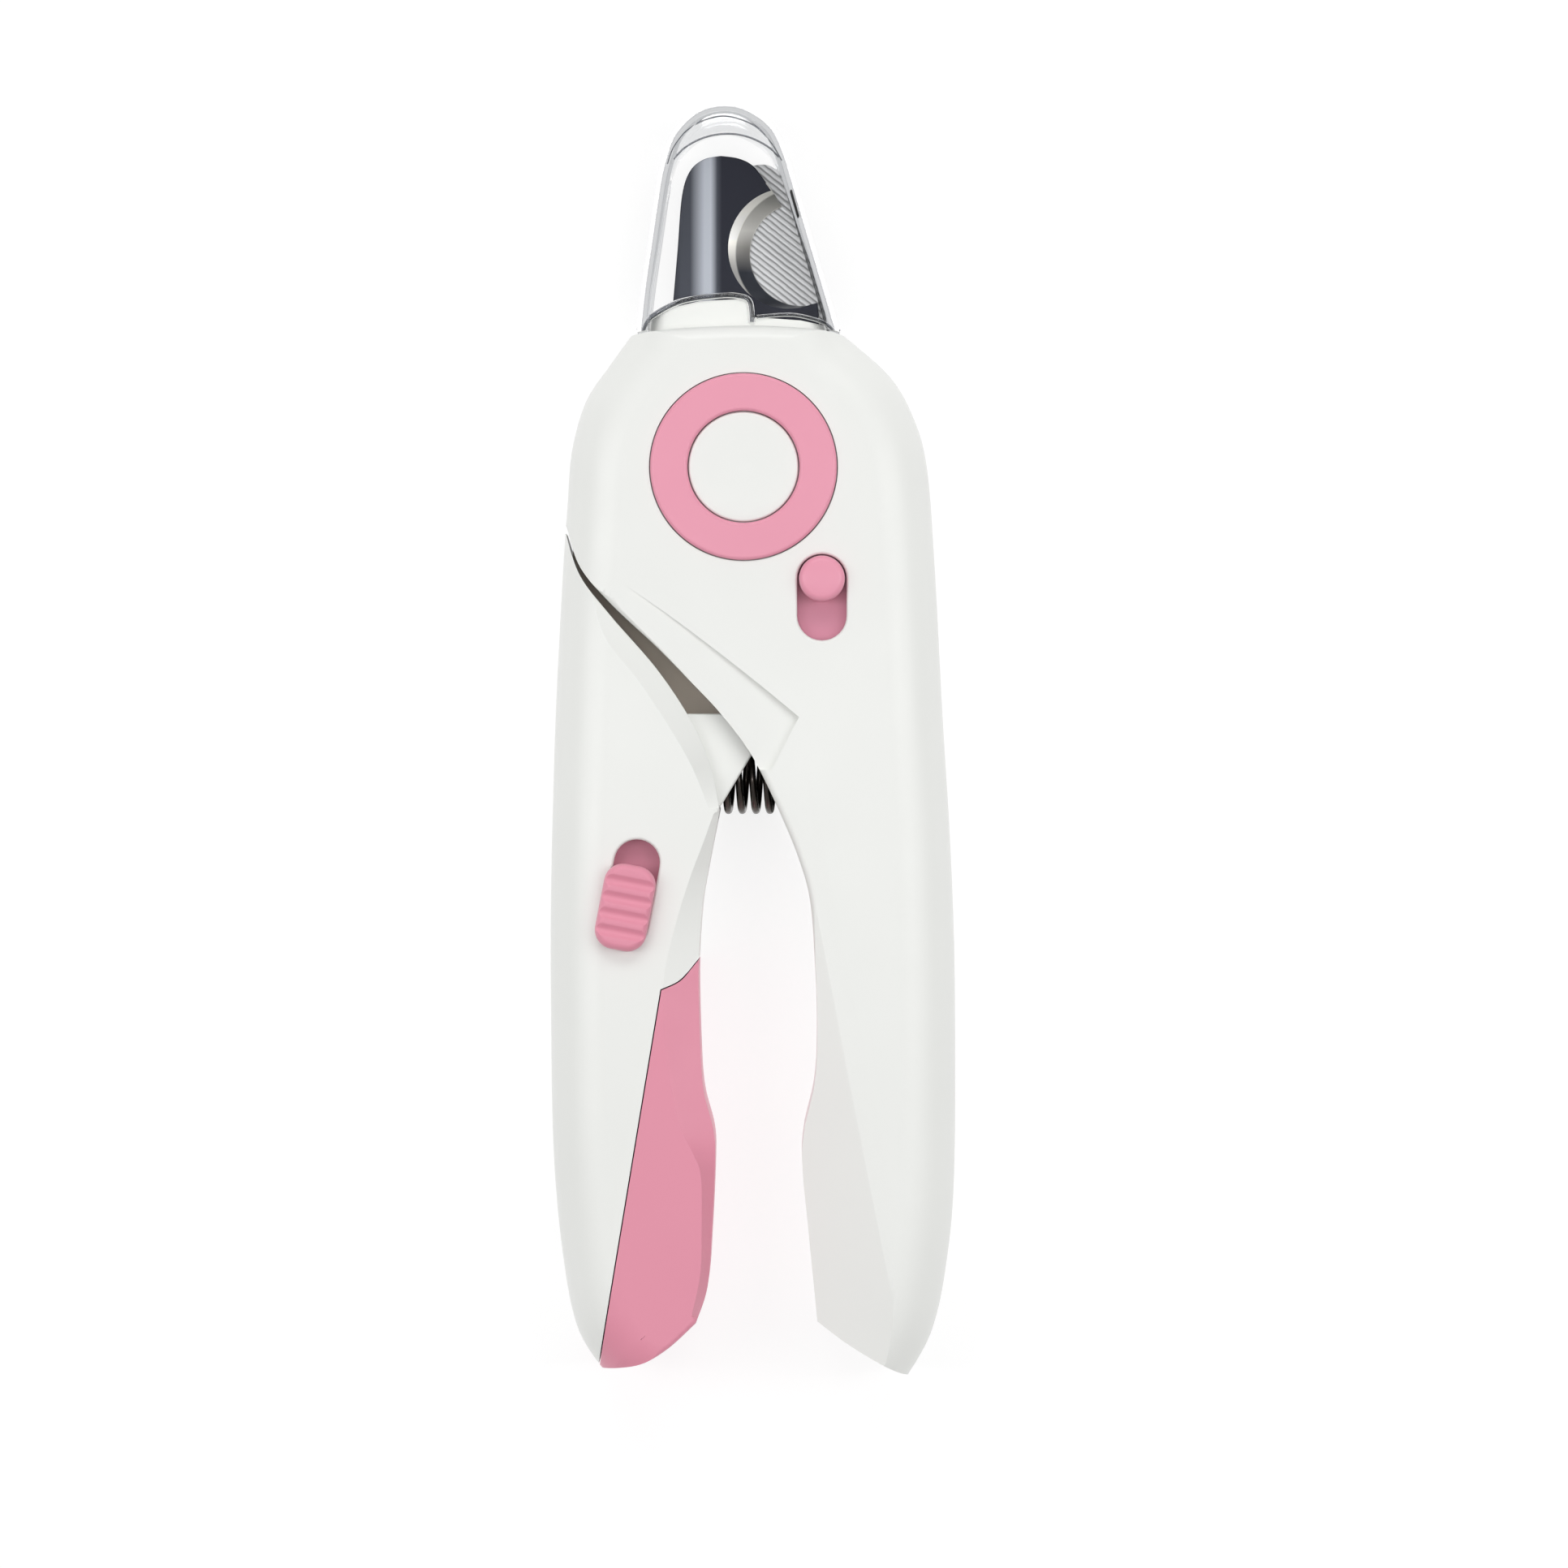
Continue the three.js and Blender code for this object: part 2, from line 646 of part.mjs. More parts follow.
function withoutRivetHeads(shape) {
  return RIVETS.reduce((left, [x, y]) => {
    const at = plan(x, y);
    return left.subtract(disc(at.x, at.y, RIVET_HEAD_RADIUS + 0.15, SHELL_WALL, ARM_Z, 16));
  }, shape);
}

function leverSpringSeat() {
  const at = plan(SPRING_LEFT_X, SPRING_Y);
  const right = at.x - SPRING_SEAT_GAP;
  return block(
    right - SPRING_SEAT,
    right,
    at.y - SEAT_HALF,
    at.y + SEAT_HALF - 0.6,
    SHELL_WALL - SEAT_SINK,
    PARTING_Z - SIDE_GAP,
  );
}

// The battery door reaches from below its screw to just above the cells.
function doorOpening(grow, low, high) {
  const at = plan(CELL_X, CELL_Y);
  const half = CELL_RADIUS + DOOR_SIDE_MARGIN + grow;
  const bottom = doorScrewPlace().y - DOOR_SCREW_INSET - grow;
  const top = at.y + CELL_RADIUS + DOOR_TOP_MARGIN + grow;
  return block(at.x - half, at.x + half, bottom, top, low, high);
}

function cellOpening() {
  const at = plan(CELL_X, CELL_Y);
  return disc(at.x, at.y, CELL_RADIUS + CELL_ROOM, 0, SHELL_WALL + 1, 40);
}

function doorBoss() {
  const at = doorScrewPlace();
  const low = DOOR_THICKNESS + DOOR_GAP;
  const post = disc(at.x, at.y, DOOR_BOSS_RADIUS, low, DOOR_BOSS_TOP_Z, 16);
  return post.subtract(disc(at.x, at.y, SCREW_RADIUS + SCREW_CLEARANCE, 0, 6, 12));
}

function leverBack() {
  let shell = leverSolid().subtract(leverHollow());
  shell = withScrewPosts(shell, LEVER_SCREWS, 1, PARTING_Z, body(1));
  shell = backHalf(shell).add(leverArm()).add(leverWeb()).add(leverSpringSeat());
  shell = shell.subtract(prism(gripOutline(SIDE_GAP), -1, FRONT_Z + 1));
  shell = shell.subtract(springMouth()).subtract(tangClearance());
  shell = shell.subtract(doorOpening(DOOR_GAP, -1, DOOR_THICKNESS + DOOR_GAP));
  const at = doorScrewPlace();
  shell = shell.subtract(disc(at.x, at.y, SCREW_RADIUS + SCREW_CLEARANCE, 0, 6, 12));
  shell = shell.subtract(cellOpening()).add(doorBoss());
  return withoutScrewHoles(withoutRivetHeads(rivetHoles(shell)), LEVER_SCREWS);
}

// The slot's end centres, measured along the slider's travel line from its rest place.
const SLIDER_SLOT_HIGH = 5.3;

function sliderSlotLow() {
  return SLIDER_SLOT_RADIUS + 0.5 - SLIDER_CAP_LENGTH / 2;
}

function sliderSlot(low, high) {
  const half = (SLIDER_SLOT_HIGH - sliderSlotLow()) / 2;
  const middle = (SLIDER_SLOT_HIGH + sliderSlotLow()) / 2;
  const points = stadiumPoints(SLIDER_SLOT_RADIUS, half).map((p) => v2(p.x, p.y + middle));
  return prism(onSlider(points), low, high);
}

// Places plan points drawn along the slider's own travel line.
function onSlider(points) {
  const at = plan(SLIDER_X, SLIDER_Y);
  return movedPoints(points, at.x, at.y, -SLIDER_TILT);
}

// The lever's tongue that covers the spring's upper left part.
function tongue() {
  const points = [
    plan(-12, -28),
    plan(-12, -38.4),
    plan(-3, -38.9),
    plan(-2.4, -38.2),
    plan(1, -32.6),
    plan(-1.6, -28),
  ];
  return prism(points, TONGUE_LOW_Z, TONGUE_HIGH_Z);
}

// A lip along the lever's shoulder that closes the view through the seam beside the housing.
function seamLip() {
  const points = [
    plan(-19.6, -8.2),
    plan(-19.4, -13.4),
    plan(-16, -18.5),
    plan(-11, -24),
    plan(-6, -31),
    plan(0.2, -31),
    plan(-0.8, -27.6),
    plan(-3.6, -23.6),
    plan(-7.6, -19.2),
    plan(-12.2, -14.8),
    plan(-16.2, -10.6),
    plan(-17.6, -8.2),
  ];
  return prism(points, SEAM_LIP_LOW_Z, SEAM_LIP_HIGH_Z);
}

// Room for the moving blade's tang where it enters the lever.
function tangClearance() {
  return prism(inset(movingTangPoints(), -SIDE_GAP), ARM_TOP_Z, PARTING_Z + 1);
}

function leverFront() {
  let shell = leverSolid().subtract(leverHollow());
  shell = withScrewPosts(shell, LEVER_SCREWS, PARTING_Z, FRONT_Z - 1, body(1));
  shell = frontHalf(shell).add(tongue());
  shell = shell.subtract(prism(gripOutline(SIDE_GAP), -1, FRONT_Z + 1));
  shell = shell.subtract(springMouth()).subtract(sliderSlot(0, 50)).subtract(tangClearance());
  return withoutScrewHoles(rivetHoles(shell).add(seamLip()), LEVER_SCREWS);
}

function gripInsert() {
  const whole = leverSolid().intersect(prism(gripOutline(0), -1, FRONT_Z + 1));
  const outline = inset(leverOutline(), SHELL_WALL);
  const hollow = body(SHELL_WALL)
    .intersect(prism(outline, SHELL_WALL, FRONT_Z - SHELL_WALL))
    .intersect(prism(inset(gripOutline(0), SHELL_WALL), -1, FRONT_Z + 1));
  const seamWindow = prism(
    movedPoints(stadiumPoints(3, 10, 6), -12 * SCALE_X, -80 * SCALE_Y, -0.17),
    7,
    14,
  );
  return whole.subtract(hollow).subtract(seamWindow);
}

// Blades --------------------------------------------------------------------------------------

const NOTCH_X = 6.6;
const NOTCH_Y = 24.7;
const BLADE_MIRROR = 0.35;

function fixedBladePoints() {
  const head = [[-8.2, 18], [-7.6, 25], [-7.1, 31.2], [-6.2, 34.1], [-4.6, 35.5], [-2.6, 35.9]];
  const hook = [[-2.6, 35.9], [-0.6, 35.6], [1, 34.8], [2.3, 33.2], [3.6, 31.4]];
  const tang = [[10.6, 8], [12.4, -5], [14.6, -14], [15.4, -27]];
  const inside = [[10.8, -28.4], [9, -17], [4.5, -9.6], [-4, -9], [-8.6, -5], [-9, 5], [-8.4, 17]];
  return [
    ...run(head, 10).reverse(),
    ...run(inside, 18).reverse(),
    ...run(tang, 7).reverse(),
    plan(9, 14),
    plan(8.5, 18.6),
    plan(8, 24),
    ...run(hook, 7).reverse().slice(0, -1),
  ];
}

function movingHeadPoints() {
  return [
    plan(-8.4, 17),
    plan(-8.4, 19.6),
    plan(-5, 24),
    plan(-2.9, 30.4),
    plan(-2.6, 31.9),
    plan(-1.5, 33.5),
    plan(0.4, 34.7),
    plan(2.6, 35),
    plan(4.2, 33.9),
    plan(5.2, 31.5),
    plan(6.5, 27.8),
    plan(8, 24),
    plan(9.8, 18),
    plan(10, 12),
    plan(9.5, 3),
  ];
}

function movingTangPoints() {
  return [
    plan(-15, -31),
    plan(-9.2, -31.6),
    plan(-7.6, -22),
    plan(-4.6, -9.5),
    plan(-9.6, -4),
    plan(-11.6, -14),
  ];
}

function movingBladePoints() {
  return [
    plan(-9.2, 0),
    ...movingHeadPoints(),
    plan(8, -4.6),
    plan(3.5, -8.6),
    plan(-4.6, -9.5),
    plan(-7.6, -22),
    plan(-9.2, -31.6),
    plan(-15, -31),
    plan(-11.6, -14),
    plan(-9.7, -4),
  ];
}

// The claw notch with its ground bevel, a leaning cone that opens towards one face.
function notch(x, lean, flatFace, groundFace) {
  const rise = Math.sign(groundFace - flatFace);
  const land = flatFace + rise * NOTCH_LAND;
  const depth = Math.abs(groundFace - land) + 0.2;
  const grow = ((NOTCH_BEVEL_RADIUS - NOTCH_RADIUS) * depth) / (depth - 0.2);
  const shift = (lean * NOTCH_BEVEL_SHIFT * depth) / (depth - 0.2);
  const at = plan(x, NOTCH_Y);
  const geometry = new THREE.CylinderGeometry(NOTCH_RADIUS + grow, NOTCH_RADIUS, depth, 48);
  geometry.rotateX(Math.PI / 2).translate(0, 0, depth / 2);
  const slant = new THREE.Matrix4().set(
    1, 0, shift / depth, 0,
    0, 1, 0.5 / depth, 0,
    0, 0, 1, 0,
    0, 0, 0, 1,
  );
  geometry.applyMatrix4(slant);
  if (rise < 0) geometry.rotateX(Math.PI).scale(1, -1, 1);
  let cone = geometry.translate(at.x, at.y, land);
  if (rise < 0) cone = flipped(cone);
  const bore = disc(at.x, at.y, NOTCH_RADIUS, Math.min(flatFace, land) - 1, Math.max(flatFace, land) + 1, 48);
  return bore.add(solid(cone));
}

// Turns each face round, as a mirrored geometry needs.
function flipped(geometry) {
  const bare = geometry.index ? geometry.toNonIndexed() : geometry;
  const positions = bare.attributes.position;
  for (let i = 0; i < positions.count; i += 3) {
    const first = new THREE.Vector3().fromBufferAttribute(positions, i);
    const second = new THREE.Vector3().fromBufferAttribute(positions, i + 1);
    positions.setXYZ(i, second.x, second.y, second.z);
    positions.setXYZ(i + 1, first.x, first.y, first.z);
  }
  return bare;
}

function fixedBlade() {
  const top = FIXED_BLADE_Z + BLADE_STEEL;
  let blade = prism(fixedBladePoints(), FIXED_BLADE_Z, top);
  blade = blade.subtract(notch(NOTCH_X, -1, FIXED_BLADE_Z, top));
  blade = blade.subtract(disc(0, 0, PIVOT_RADIUS + 0.03, 0, FRONT_Z, 32));
  for (const [x, y] of TANG_PEGS) {
    const at = plan(x, y);
    blade = blade.subtract(disc(at.x, at.y, 1, 0, FRONT_Z, 16));
  }
  return blade;
}

function movingBlade() {
  const top = MOVING_BLADE_Z + BLADE_STEEL;
  let blade = prism(movingBladePoints(), MOVING_BLADE_Z, top);
  blade = blade.subtract(notch(2 * BLADE_MIRROR - NOTCH_X, 1, top, MOVING_BLADE_Z));
  blade = blade.subtract(disc(0, 0, PIVOT_RADIUS + PIVOT_CLEARANCE, 0, FRONT_Z, 32));
  return rivetHoles(blade);
}

function rivet([x, y]) {
  const at = plan(x, y);
  const shank = disc(at.x, at.y, RIVET_RADIUS, ARM_Z - 0.3, PARTING_Z + 0.5, 16);
  const low = disc(at.x, at.y, RIVET_HEAD_RADIUS, ARM_Z - 1, ARM_Z - 0.1, 16);
  const high = disc(at.x, at.y, RIVET_HEAD_RADIUS, PARTING_Z, PARTING_Z + 0.9, 16);
  return shank.add(low).add(high);
}

// Pivot ---------------------------------------------------------------------------------------

function washerLow() {
  return FIXED_BLADE_Z + BLADE_STEEL + 0.05;
}

function nutLow() {
  return washerLow() + WASHER_THICKNESS + 0.05;
}

function nutTop() {
  return nutLow() + NUT_THICKNESS;
}

function pivotPin() {
  return disc(0, 0, PIVOT_RADIUS, PIVOT_FLOOR_Z + 0.05, nutTop() + PIN_TOP_SPARE, 32);
}

function pivotWasher() {
  const plate = disc(0, 0, WASHER_RADIUS, washerLow(), washerLow() + WASHER_THICKNESS, 32);
  return plate.subtract(disc(0, 0, PIVOT_RADIUS + 0.1, 0, FRONT_Z, 32));
}

function pivotNut() {
  const hexagon = disc(0, 0, NUT_RADIUS, nutLow(), nutTop(), 6);
  return hexagon.subtract(disc(0, 0, PIVOT_RADIUS + 0.03, 0, FRONT_Z, 32));
}

// A ring or disc with a softened top edge.
function turnedTrim(inner, outer, low, high, soft, sides = 52, x = 0, y = 0) {
  const profile = [v2(inner, low), v2(outer, low), v2(outer, high - soft), v2(outer - soft, high)];
  if (inner > 0) {
    profile.push(v2(inner + soft, high), v2(inner, high - soft), v2(inner, low));
  } else {
    profile.push(v2(0, high));
  }
  const geometry = new THREE.LatheGeometry(profile, sides);
  return solid(geometry.rotateX(Math.PI / 2).translate(x, y, 0));
}

function pivotRing() {
  const low = FRONT_Z - RING_RECESS + 0.05;
  return turnedTrim(RING_BORE, RING_RADIUS, low, FRONT_Z + RING_STAND, 0.3);
}

function pivotCap() {
  const low = FRONT_Z - RING_RECESS + 0.05;
  return turnedTrim(0, RING_BORE - TRIM_GAP, low, FRONT_Z + CAP_STAND, 0.2);
}

// Lock ----------------------------------------------------------------------------------------

function carrierTop() {
  return FRONT_Z - SHELL_WALL - CARRIER_GAP;
}

function lockKnob() {
  const at = plan(LOCK_X, LOCK_TOP_Y);
  const top = carrierTop();
  const knob = turnedTrim(0, KNOB_RADIUS, top - 0.5, FRONT_Z + KNOB_STAND, 0.5, 32, at.x, at.y);
  const reach = LOCK_SLOT_RADIUS + CARRIER_LAP;
  const plate = block(
    at.x - LOCK_SLOT_RADIUS - CARRIER_LAP,
    at.x + LOCK_SLOT_RADIUS + CARRIER_LAP,
    at.y - LOCK_TRAVEL - reach,
    at.y + LOCK_TRAVEL + reach,
    top - CARRIER_THICKNESS,
    top,
  );
  return knob.add(plate);
}

function lockBolt() {
  const at = plan(LOCK_X, LOCK_TOP_Y);
  const high = carrierTop() - CARRIER_THICKNESS - 0.05;
  const low = FIXED_BLADE_Z + BLADE_STEEL + BOLT_GAP;
  const y = at.y - 2.6;
  const half = BOLT_WIDTH / 2;
  const post = block(at.x - half - 2, at.x + half - 2, y - half, y + half, low, high);
  const bar = block(at.x - BOLT_REACH, at.x - 1, y - half, y + half, low, low + BOLT_THICKNESS);
  return post.add(bar);
}

// Lamp ----------------------------------------------------------------------------------------

function lightSlider() {
  const top = FRONT_Z - SHELL_WALL - SLIDER_CARRIER_GAP;
  const halfCap = SLIDER_CAP_LENGTH / 2 - SLIDER_CAP_RADIUS;
  const capLow = FRONT_Z + SLIDER_CAP_LIFT;
  let cap = roundedPrism(
    onSlider(stadiumPoints(SLIDER_CAP_RADIUS, halfCap, 8)),
    capLow,
    capLow + SLIDER_CAP_HEIGHT,
    0.6,
    2,
  );
  for (let i = 0; i < SLIDER_GROOVES; i++) {
    const offset = (i - (SLIDER_GROOVES - 1) / 2) * SLIDER_GROOVE_PITCH;
    cap = cap.subtract(sliderGroove(offset, capLow + SLIDER_CAP_HEIGHT));
  }
  const stemRadius = SLIDER_SLOT_RADIUS - 0.3;
  const stemHalf = halfCap - 0.35;
  const stem = prism(onSlider(stadiumPoints(stemRadius, stemHalf, 8)), top - 0.5, capLow + 0.5);
  const low = sliderSlotLow() - SLIDER_TRAVEL;
  const high = SLIDER_SLOT_HIGH;
  const outline = stadiumPoints(SLIDER_SLOT_RADIUS + SLIDER_LAP, (high - low) / 2);
  const placed = outline.map((p) => v2(p.x, p.y + (high + low) / 2));
  const plate = prism(onSlider(placed), top - CARRIER_THICKNESS, top);
  const finger = prism(onSlider(stadiumPoints(0.7, 0.5, 6)), switchTop() + 0.15, top - 0.5);
  return cap.add(stem).add(plate).add(finger);
}

function sliderGroove(offset, z) {
  const at = plan(SLIDER_X, SLIDER_Y);
  const geometry = new THREE.CylinderGeometry(SLIDER_GROOVE_RADIUS, SLIDER_GROOVE_RADIUS, 20, 12);
  geometry.rotateZ(Math.PI / 2).translate(0, offset, 0).rotateZ(-SLIDER_TILT);
  return solid(geometry.translate(at.x, at.y, z + 0.12));
}

function switchLow() {
  return BOARD_Z + BOARD_THICKNESS + SOLDER_GAP;
}

function switchTop() {
  return switchLow() + SWITCH_HEIGHT;
}

function switchBody() {
  const corners = [v2(-1.9, -4.2), v2(1.9, -4.2), v2(1.9, 5.2), v2(-1.9, 5.2)];
  return prism(onSlider(corners), switchLow(), switchTop());
}

function circuitBoard() {
  const corners = [
    plan(-18.4, -58.5),
    plan(-12.6, -58.5),
    plan(-8.8, -54.5),
    plan(-8.2, -44.5),
    plan(-17.6, -43),
  ];
  return prism(corners, BOARD_Z, BOARD_Z + BOARD_THICKNESS);
}

function coinCell(low) {
  const at = plan(CELL_X, CELL_Y);
  return disc(at.x, at.y, CELL_RADIUS, low, low + CELL_HEIGHT, 40);
}

// A bent strip from the upper cell to the board.
function batteryContact() {
  const at = plan(CELL_X, CELL_Y);
  const low = CELL_Z + 2 * (CELL_HEIGHT + CELL_GAP);
  const high = BOARD_Z - SOLDER_GAP;
  const strip = 0.4;
  const foot = block(at.x - 1.5, at.x + 3.5, at.y - 1.2, at.y + 1.2, low, low + strip);
  const riser = block(at.x + 3.1, at.x + 3.5, at.y - 1.2, at.y + 1.2, low, high);
  const top = block(at.x, at.x + 3.5, at.y - 1.2, at.y + 1.2, high - strip, high);
  return foot.add(riser).add(top);
}

function batteryDoor() {
  const plate = doorOpening(0, 0, DOOR_THICKNESS).intersect(body(0));
  const at = doorScrewPlace();
  const hole = disc(at.x, at.y, SCREW_RADIUS + SCREW_CLEARANCE, -1, 5, 16);
  const sink = disc(at.x, at.y, SCREW_HEAD_RADIUS + SCREW_CLEARANCE, -1, 1, 20);
  return plate.subtract(hole).subtract(sink);
}

function doorScrewPlace() {
  const at = plan(CELL_X, CELL_Y);
  return v2(at.x, at.y - CELL_RADIUS - DOOR_BOSS_GAP - DOOR_BOSS_RADIUS);
}

function doorScrew() {
  const at = doorScrewPlace();
  const headTop = DOOR_SCREW_SINK + DOOR_SCREW_HEAD_HEIGHT;
  const head = disc(at.x, at.y, SCREW_HEAD_RADIUS, DOOR_SCREW_SINK, headTop, 20);
  const shank = disc(at.x, at.y, SCREW_RADIUS, DOOR_SCREW_SINK, DOOR_SCREW_TIP_Z, 16);
  const half = DRIVE_WIDTH / 2;
  const arm = SCREW_HEAD_RADIUS * 0.65;
  const drive = block(at.x - arm, at.x + arm, at.y - half, at.y + half, -1, DOOR_SCREW_SINK + 0.35);
  return head.add(shank).subtract(drive);
}

function led() {
  const at = plan(LED_X, LED_Y);
  const shoulder = LED_LENGTH - LED_DOME;
  const profile = [v2(0, 0), v2(LED_RADIUS, 0), v2(LED_RADIUS, shoulder)];
  const steps = 5;
  for (let i = 1; i < steps; i++) {
    const angle = (Math.PI / 2) * (i / steps);
    profile.push(v2(LED_RADIUS * Math.cos(angle), shoulder + LED_DOME * Math.sin(angle)));
  }
  profile.push(v2(0, LED_LENGTH));
  const geometry = new THREE.LatheGeometry(profile, 20);
  return solid(geometry.translate(at.x, at.y - LED_TAIL, LED_Z));
}

// Spring --------------------------------------------------------------------------------------

class Coil extends THREE.Curve {
  getPoint(t, target = new THREE.Vector3()) {
    const angle = t * SPRING_TURNS * 2 * Math.PI;
    const left = plan(SPRING_LEFT_X, SPRING_Y);
    const right = plan(SPRING_RIGHT_X, SPRING_Y);
    const x = THREE.MathUtils.lerp(left.x + SPRING_END, right.x - SPRING_END, t);
    const y = left.y + SPRING_RADIUS * Math.cos(angle);
    return target.set(x, y, SPRING_Z + SPRING_RADIUS * Math.sin(angle));
  }
}

function returnSpring() {
  const section = [];
  for (let i = 0; i < 5; i++) {
    const angle = (i / 5) * 2 * Math.PI;
    section.push(v2(SPRING_WIRE * Math.cos(angle), SPRING_WIRE * Math.sin(angle)));
  }
  const steps = Math.round(SPRING_TURNS * 14);
  const settings = { steps, extrudePath: new Coil(), bevelEnabled: false };
  return solid(new THREE.ExtrudeGeometry(new THREE.Shape(section), settings));
}

// Cover ---------------------------------------------------------------------------------------

function coverOutline() {
  const left = [[-9.4, 35.2], [-9.9, 33], [-10.8, 27], [-11.8, 20], [-12.4, 14]];
  const top = [[5.3, 35.2], [3.6, 39], [0.6, 41.3], [-2.5, 41.9], [-5.6, 41], [-8.2, 38.4], [-9.4, 35.2]];
  const right = [[11.5, 14], [9.6, 20.5], [7.2, 28.6], [5.3, 35.2]];
  return [
    plan(13.4, -8),
    ...run(right, 5).slice(0, -1),
    ...run(top, 14),
    ...run(left, 5).slice(1),
    plan(-13.6, -8),
  ];
}

function bladeCover() {
  const outer = roundedPrism(coverOutline(), COVER_BACK_Z, COVER_FRONT_Z, COVER_ROUND, 4);
  const hollow = roundedPrism(
    inset(coverOutline(), COVER_WALL),
    COVER_BACK_Z + COVER_WALL,
    COVER_FRONT_Z - COVER_WALL,
    COVER_ROUND - COVER_WALL,
    4,
  );
  const base = COVER_BASE_Y * SCALE_Y;
  const baseCut = block(-40, 40, -40, base, -10, 40);
  const lift = inset(coverOutline(), COVER_WALL).map((p) => v2(p.x, p.y - 8));
  const mouth = roundedPrism(
    lift,
    COVER_BACK_Z + COVER_WALL,
    COVER_FRONT_Z - COVER_WALL,
    COVER_ROUND - COVER_WALL,
    4,
  );
  const slot = block(
    0,
    30,
    0,
    COVER_SLOT_TOP_Y * SCALE_Y - 4,
    MOVING_BLADE_Z - BLADE_SLOT_MARGIN,
    PARTING_Z + BLADE_SLOT_MARGIN,
  );
  return outer.subtract(hollow).subtract(mouth).subtract(baseCut).subtract(slot);
}

// Assembly ------------------------------------------------------------------------------------

const WHITE = [0xf0f0ee, 0.35, 0];
const GREY_STEEL = [0xc8cacc, 0.28, 1];
const DARK_STEEL = [0x2a2e3a, 0.18, 1];
const PINK = [0xea9fb6, 0.42, 0];
const GREEN = [0x2f6d45, 0.6, 0];
const BLACK = [0x1c1c1e, 0.5, 0];
const BRASS = [0xc9a85a, 0.35, 1];
const CLEAR = [0xe6eaec, 0.08, 0];

const group = new THREE.Group();
group.name = "nail_clipper";

function add(name, shape, [color, roughness, metalness]) {
  const material = new THREE.MeshStandardMaterial({ color, roughness, metalness });
  if (name === "blade_cover") {
    material.transparent = true;
    material.opacity = 0.35;
  }
  const mesh = new THREE.Mesh(geometryOf(shape), material);
  mesh.name = name;
  group.add(mesh);
}

add("housing_front", housingFront(), WHITE);
add("housing_back", housingBack(), WHITE);
add("fixed_blade", fixedBlade(), DARK_STEEL);
add("pivot_pin", pivotPin(), GREY_STEEL);
add("pivot_washer", pivotWasher(), GREY_STEEL);
add("pivot_nut", pivotNut(), GREY_STEEL);
add("pivot_ring", pivotRing(), PINK);
add("pivot_cap", pivotCap(), WHITE);
add("lock_knob", lockKnob(), PINK);
add("lock_bolt", lockBolt(), GREY_STEEL);
add("lever_front", leverFront(), WHITE);
add("lever_back", leverBack(), WHITE);
add("grip_insert", gripInsert(), PINK);
add("moving_blade", movingBlade(), GREY_STEEL);
add("light_slider", lightSlider(), PINK);
add("switch_body", switchBody(), BLACK);
add("circuit_board", circuitBoard(), GREEN);
add("coin_cell_lower", coinCell(CELL_Z), GREY_STEEL);
add("coin_cell_upper", coinCell(CELL_Z + CELL_HEIGHT + CELL_GAP), GREY_STEEL);
add("battery_contact", batteryContact(), BRASS);
add("battery_door", batteryDoor(), WHITE);
add("battery_door_screw", doorScrew(), GREY_STEEL);
add("led", led(), CLEAR);
add("return_spring", returnSpring(), DARK_STEEL);
add("blade_cover", bladeCover(), CLEAR);
RIVETS.forEach((place, i) => add(`blade_rivet_${i + 1}`, rivet(place), GREY_STEEL));
HOUSING_SCREWS.forEach((place, i) => {
  const at = screwPlace(place);
  add(`housing_screw_${i + 1}`, screw(at.x, at.y, SCREW_SINK, SCREW_TIP_Z), GREY_STEEL);
});
LEVER_SCREWS.forEach((place, i) => {
  const at = screwPlace(place);
  add(`lever_screw_${i + 1}`, screw(at.x, at.y, SCREW_SINK, SCREW_TIP_Z), GREY_STEEL);
});

export default group;
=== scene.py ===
"""Looks for the scissor pet nail clipper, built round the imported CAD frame.

Shapes are made in millimetres and placed in metres. +Z is out of the front face, +Y is towards the
blades and the pivot is the Z axis, as in the CAD model.
"""

import math

import bmesh
import bpy
import numpy as np
from mathutils import Matrix, Vector


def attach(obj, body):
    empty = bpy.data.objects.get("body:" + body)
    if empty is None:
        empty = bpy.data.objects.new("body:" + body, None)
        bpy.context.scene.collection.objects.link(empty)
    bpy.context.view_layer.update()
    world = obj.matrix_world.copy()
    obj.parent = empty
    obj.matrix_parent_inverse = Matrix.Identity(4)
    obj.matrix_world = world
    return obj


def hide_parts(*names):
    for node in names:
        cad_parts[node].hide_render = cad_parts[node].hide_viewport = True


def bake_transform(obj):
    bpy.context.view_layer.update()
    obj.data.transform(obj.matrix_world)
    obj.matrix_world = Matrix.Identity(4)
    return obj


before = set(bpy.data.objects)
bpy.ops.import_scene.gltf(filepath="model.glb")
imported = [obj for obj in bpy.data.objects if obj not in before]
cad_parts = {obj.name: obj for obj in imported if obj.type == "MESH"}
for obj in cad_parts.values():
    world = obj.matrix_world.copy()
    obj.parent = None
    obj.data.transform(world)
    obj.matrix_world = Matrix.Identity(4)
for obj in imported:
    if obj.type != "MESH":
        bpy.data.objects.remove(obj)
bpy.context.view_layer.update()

MM = 0.001
FRONT = 20.6  # height of the front face
PARTING = 10.4  # height where the back and front halves meet
WALL = 2.0
EDGE_ROUND = 6.4
OUTSIDE = 60.0  # clear of the tool's sides
FINE = 4  # outline points here for each point in the CAD model


# ---------------------------------------------------------------- outlines


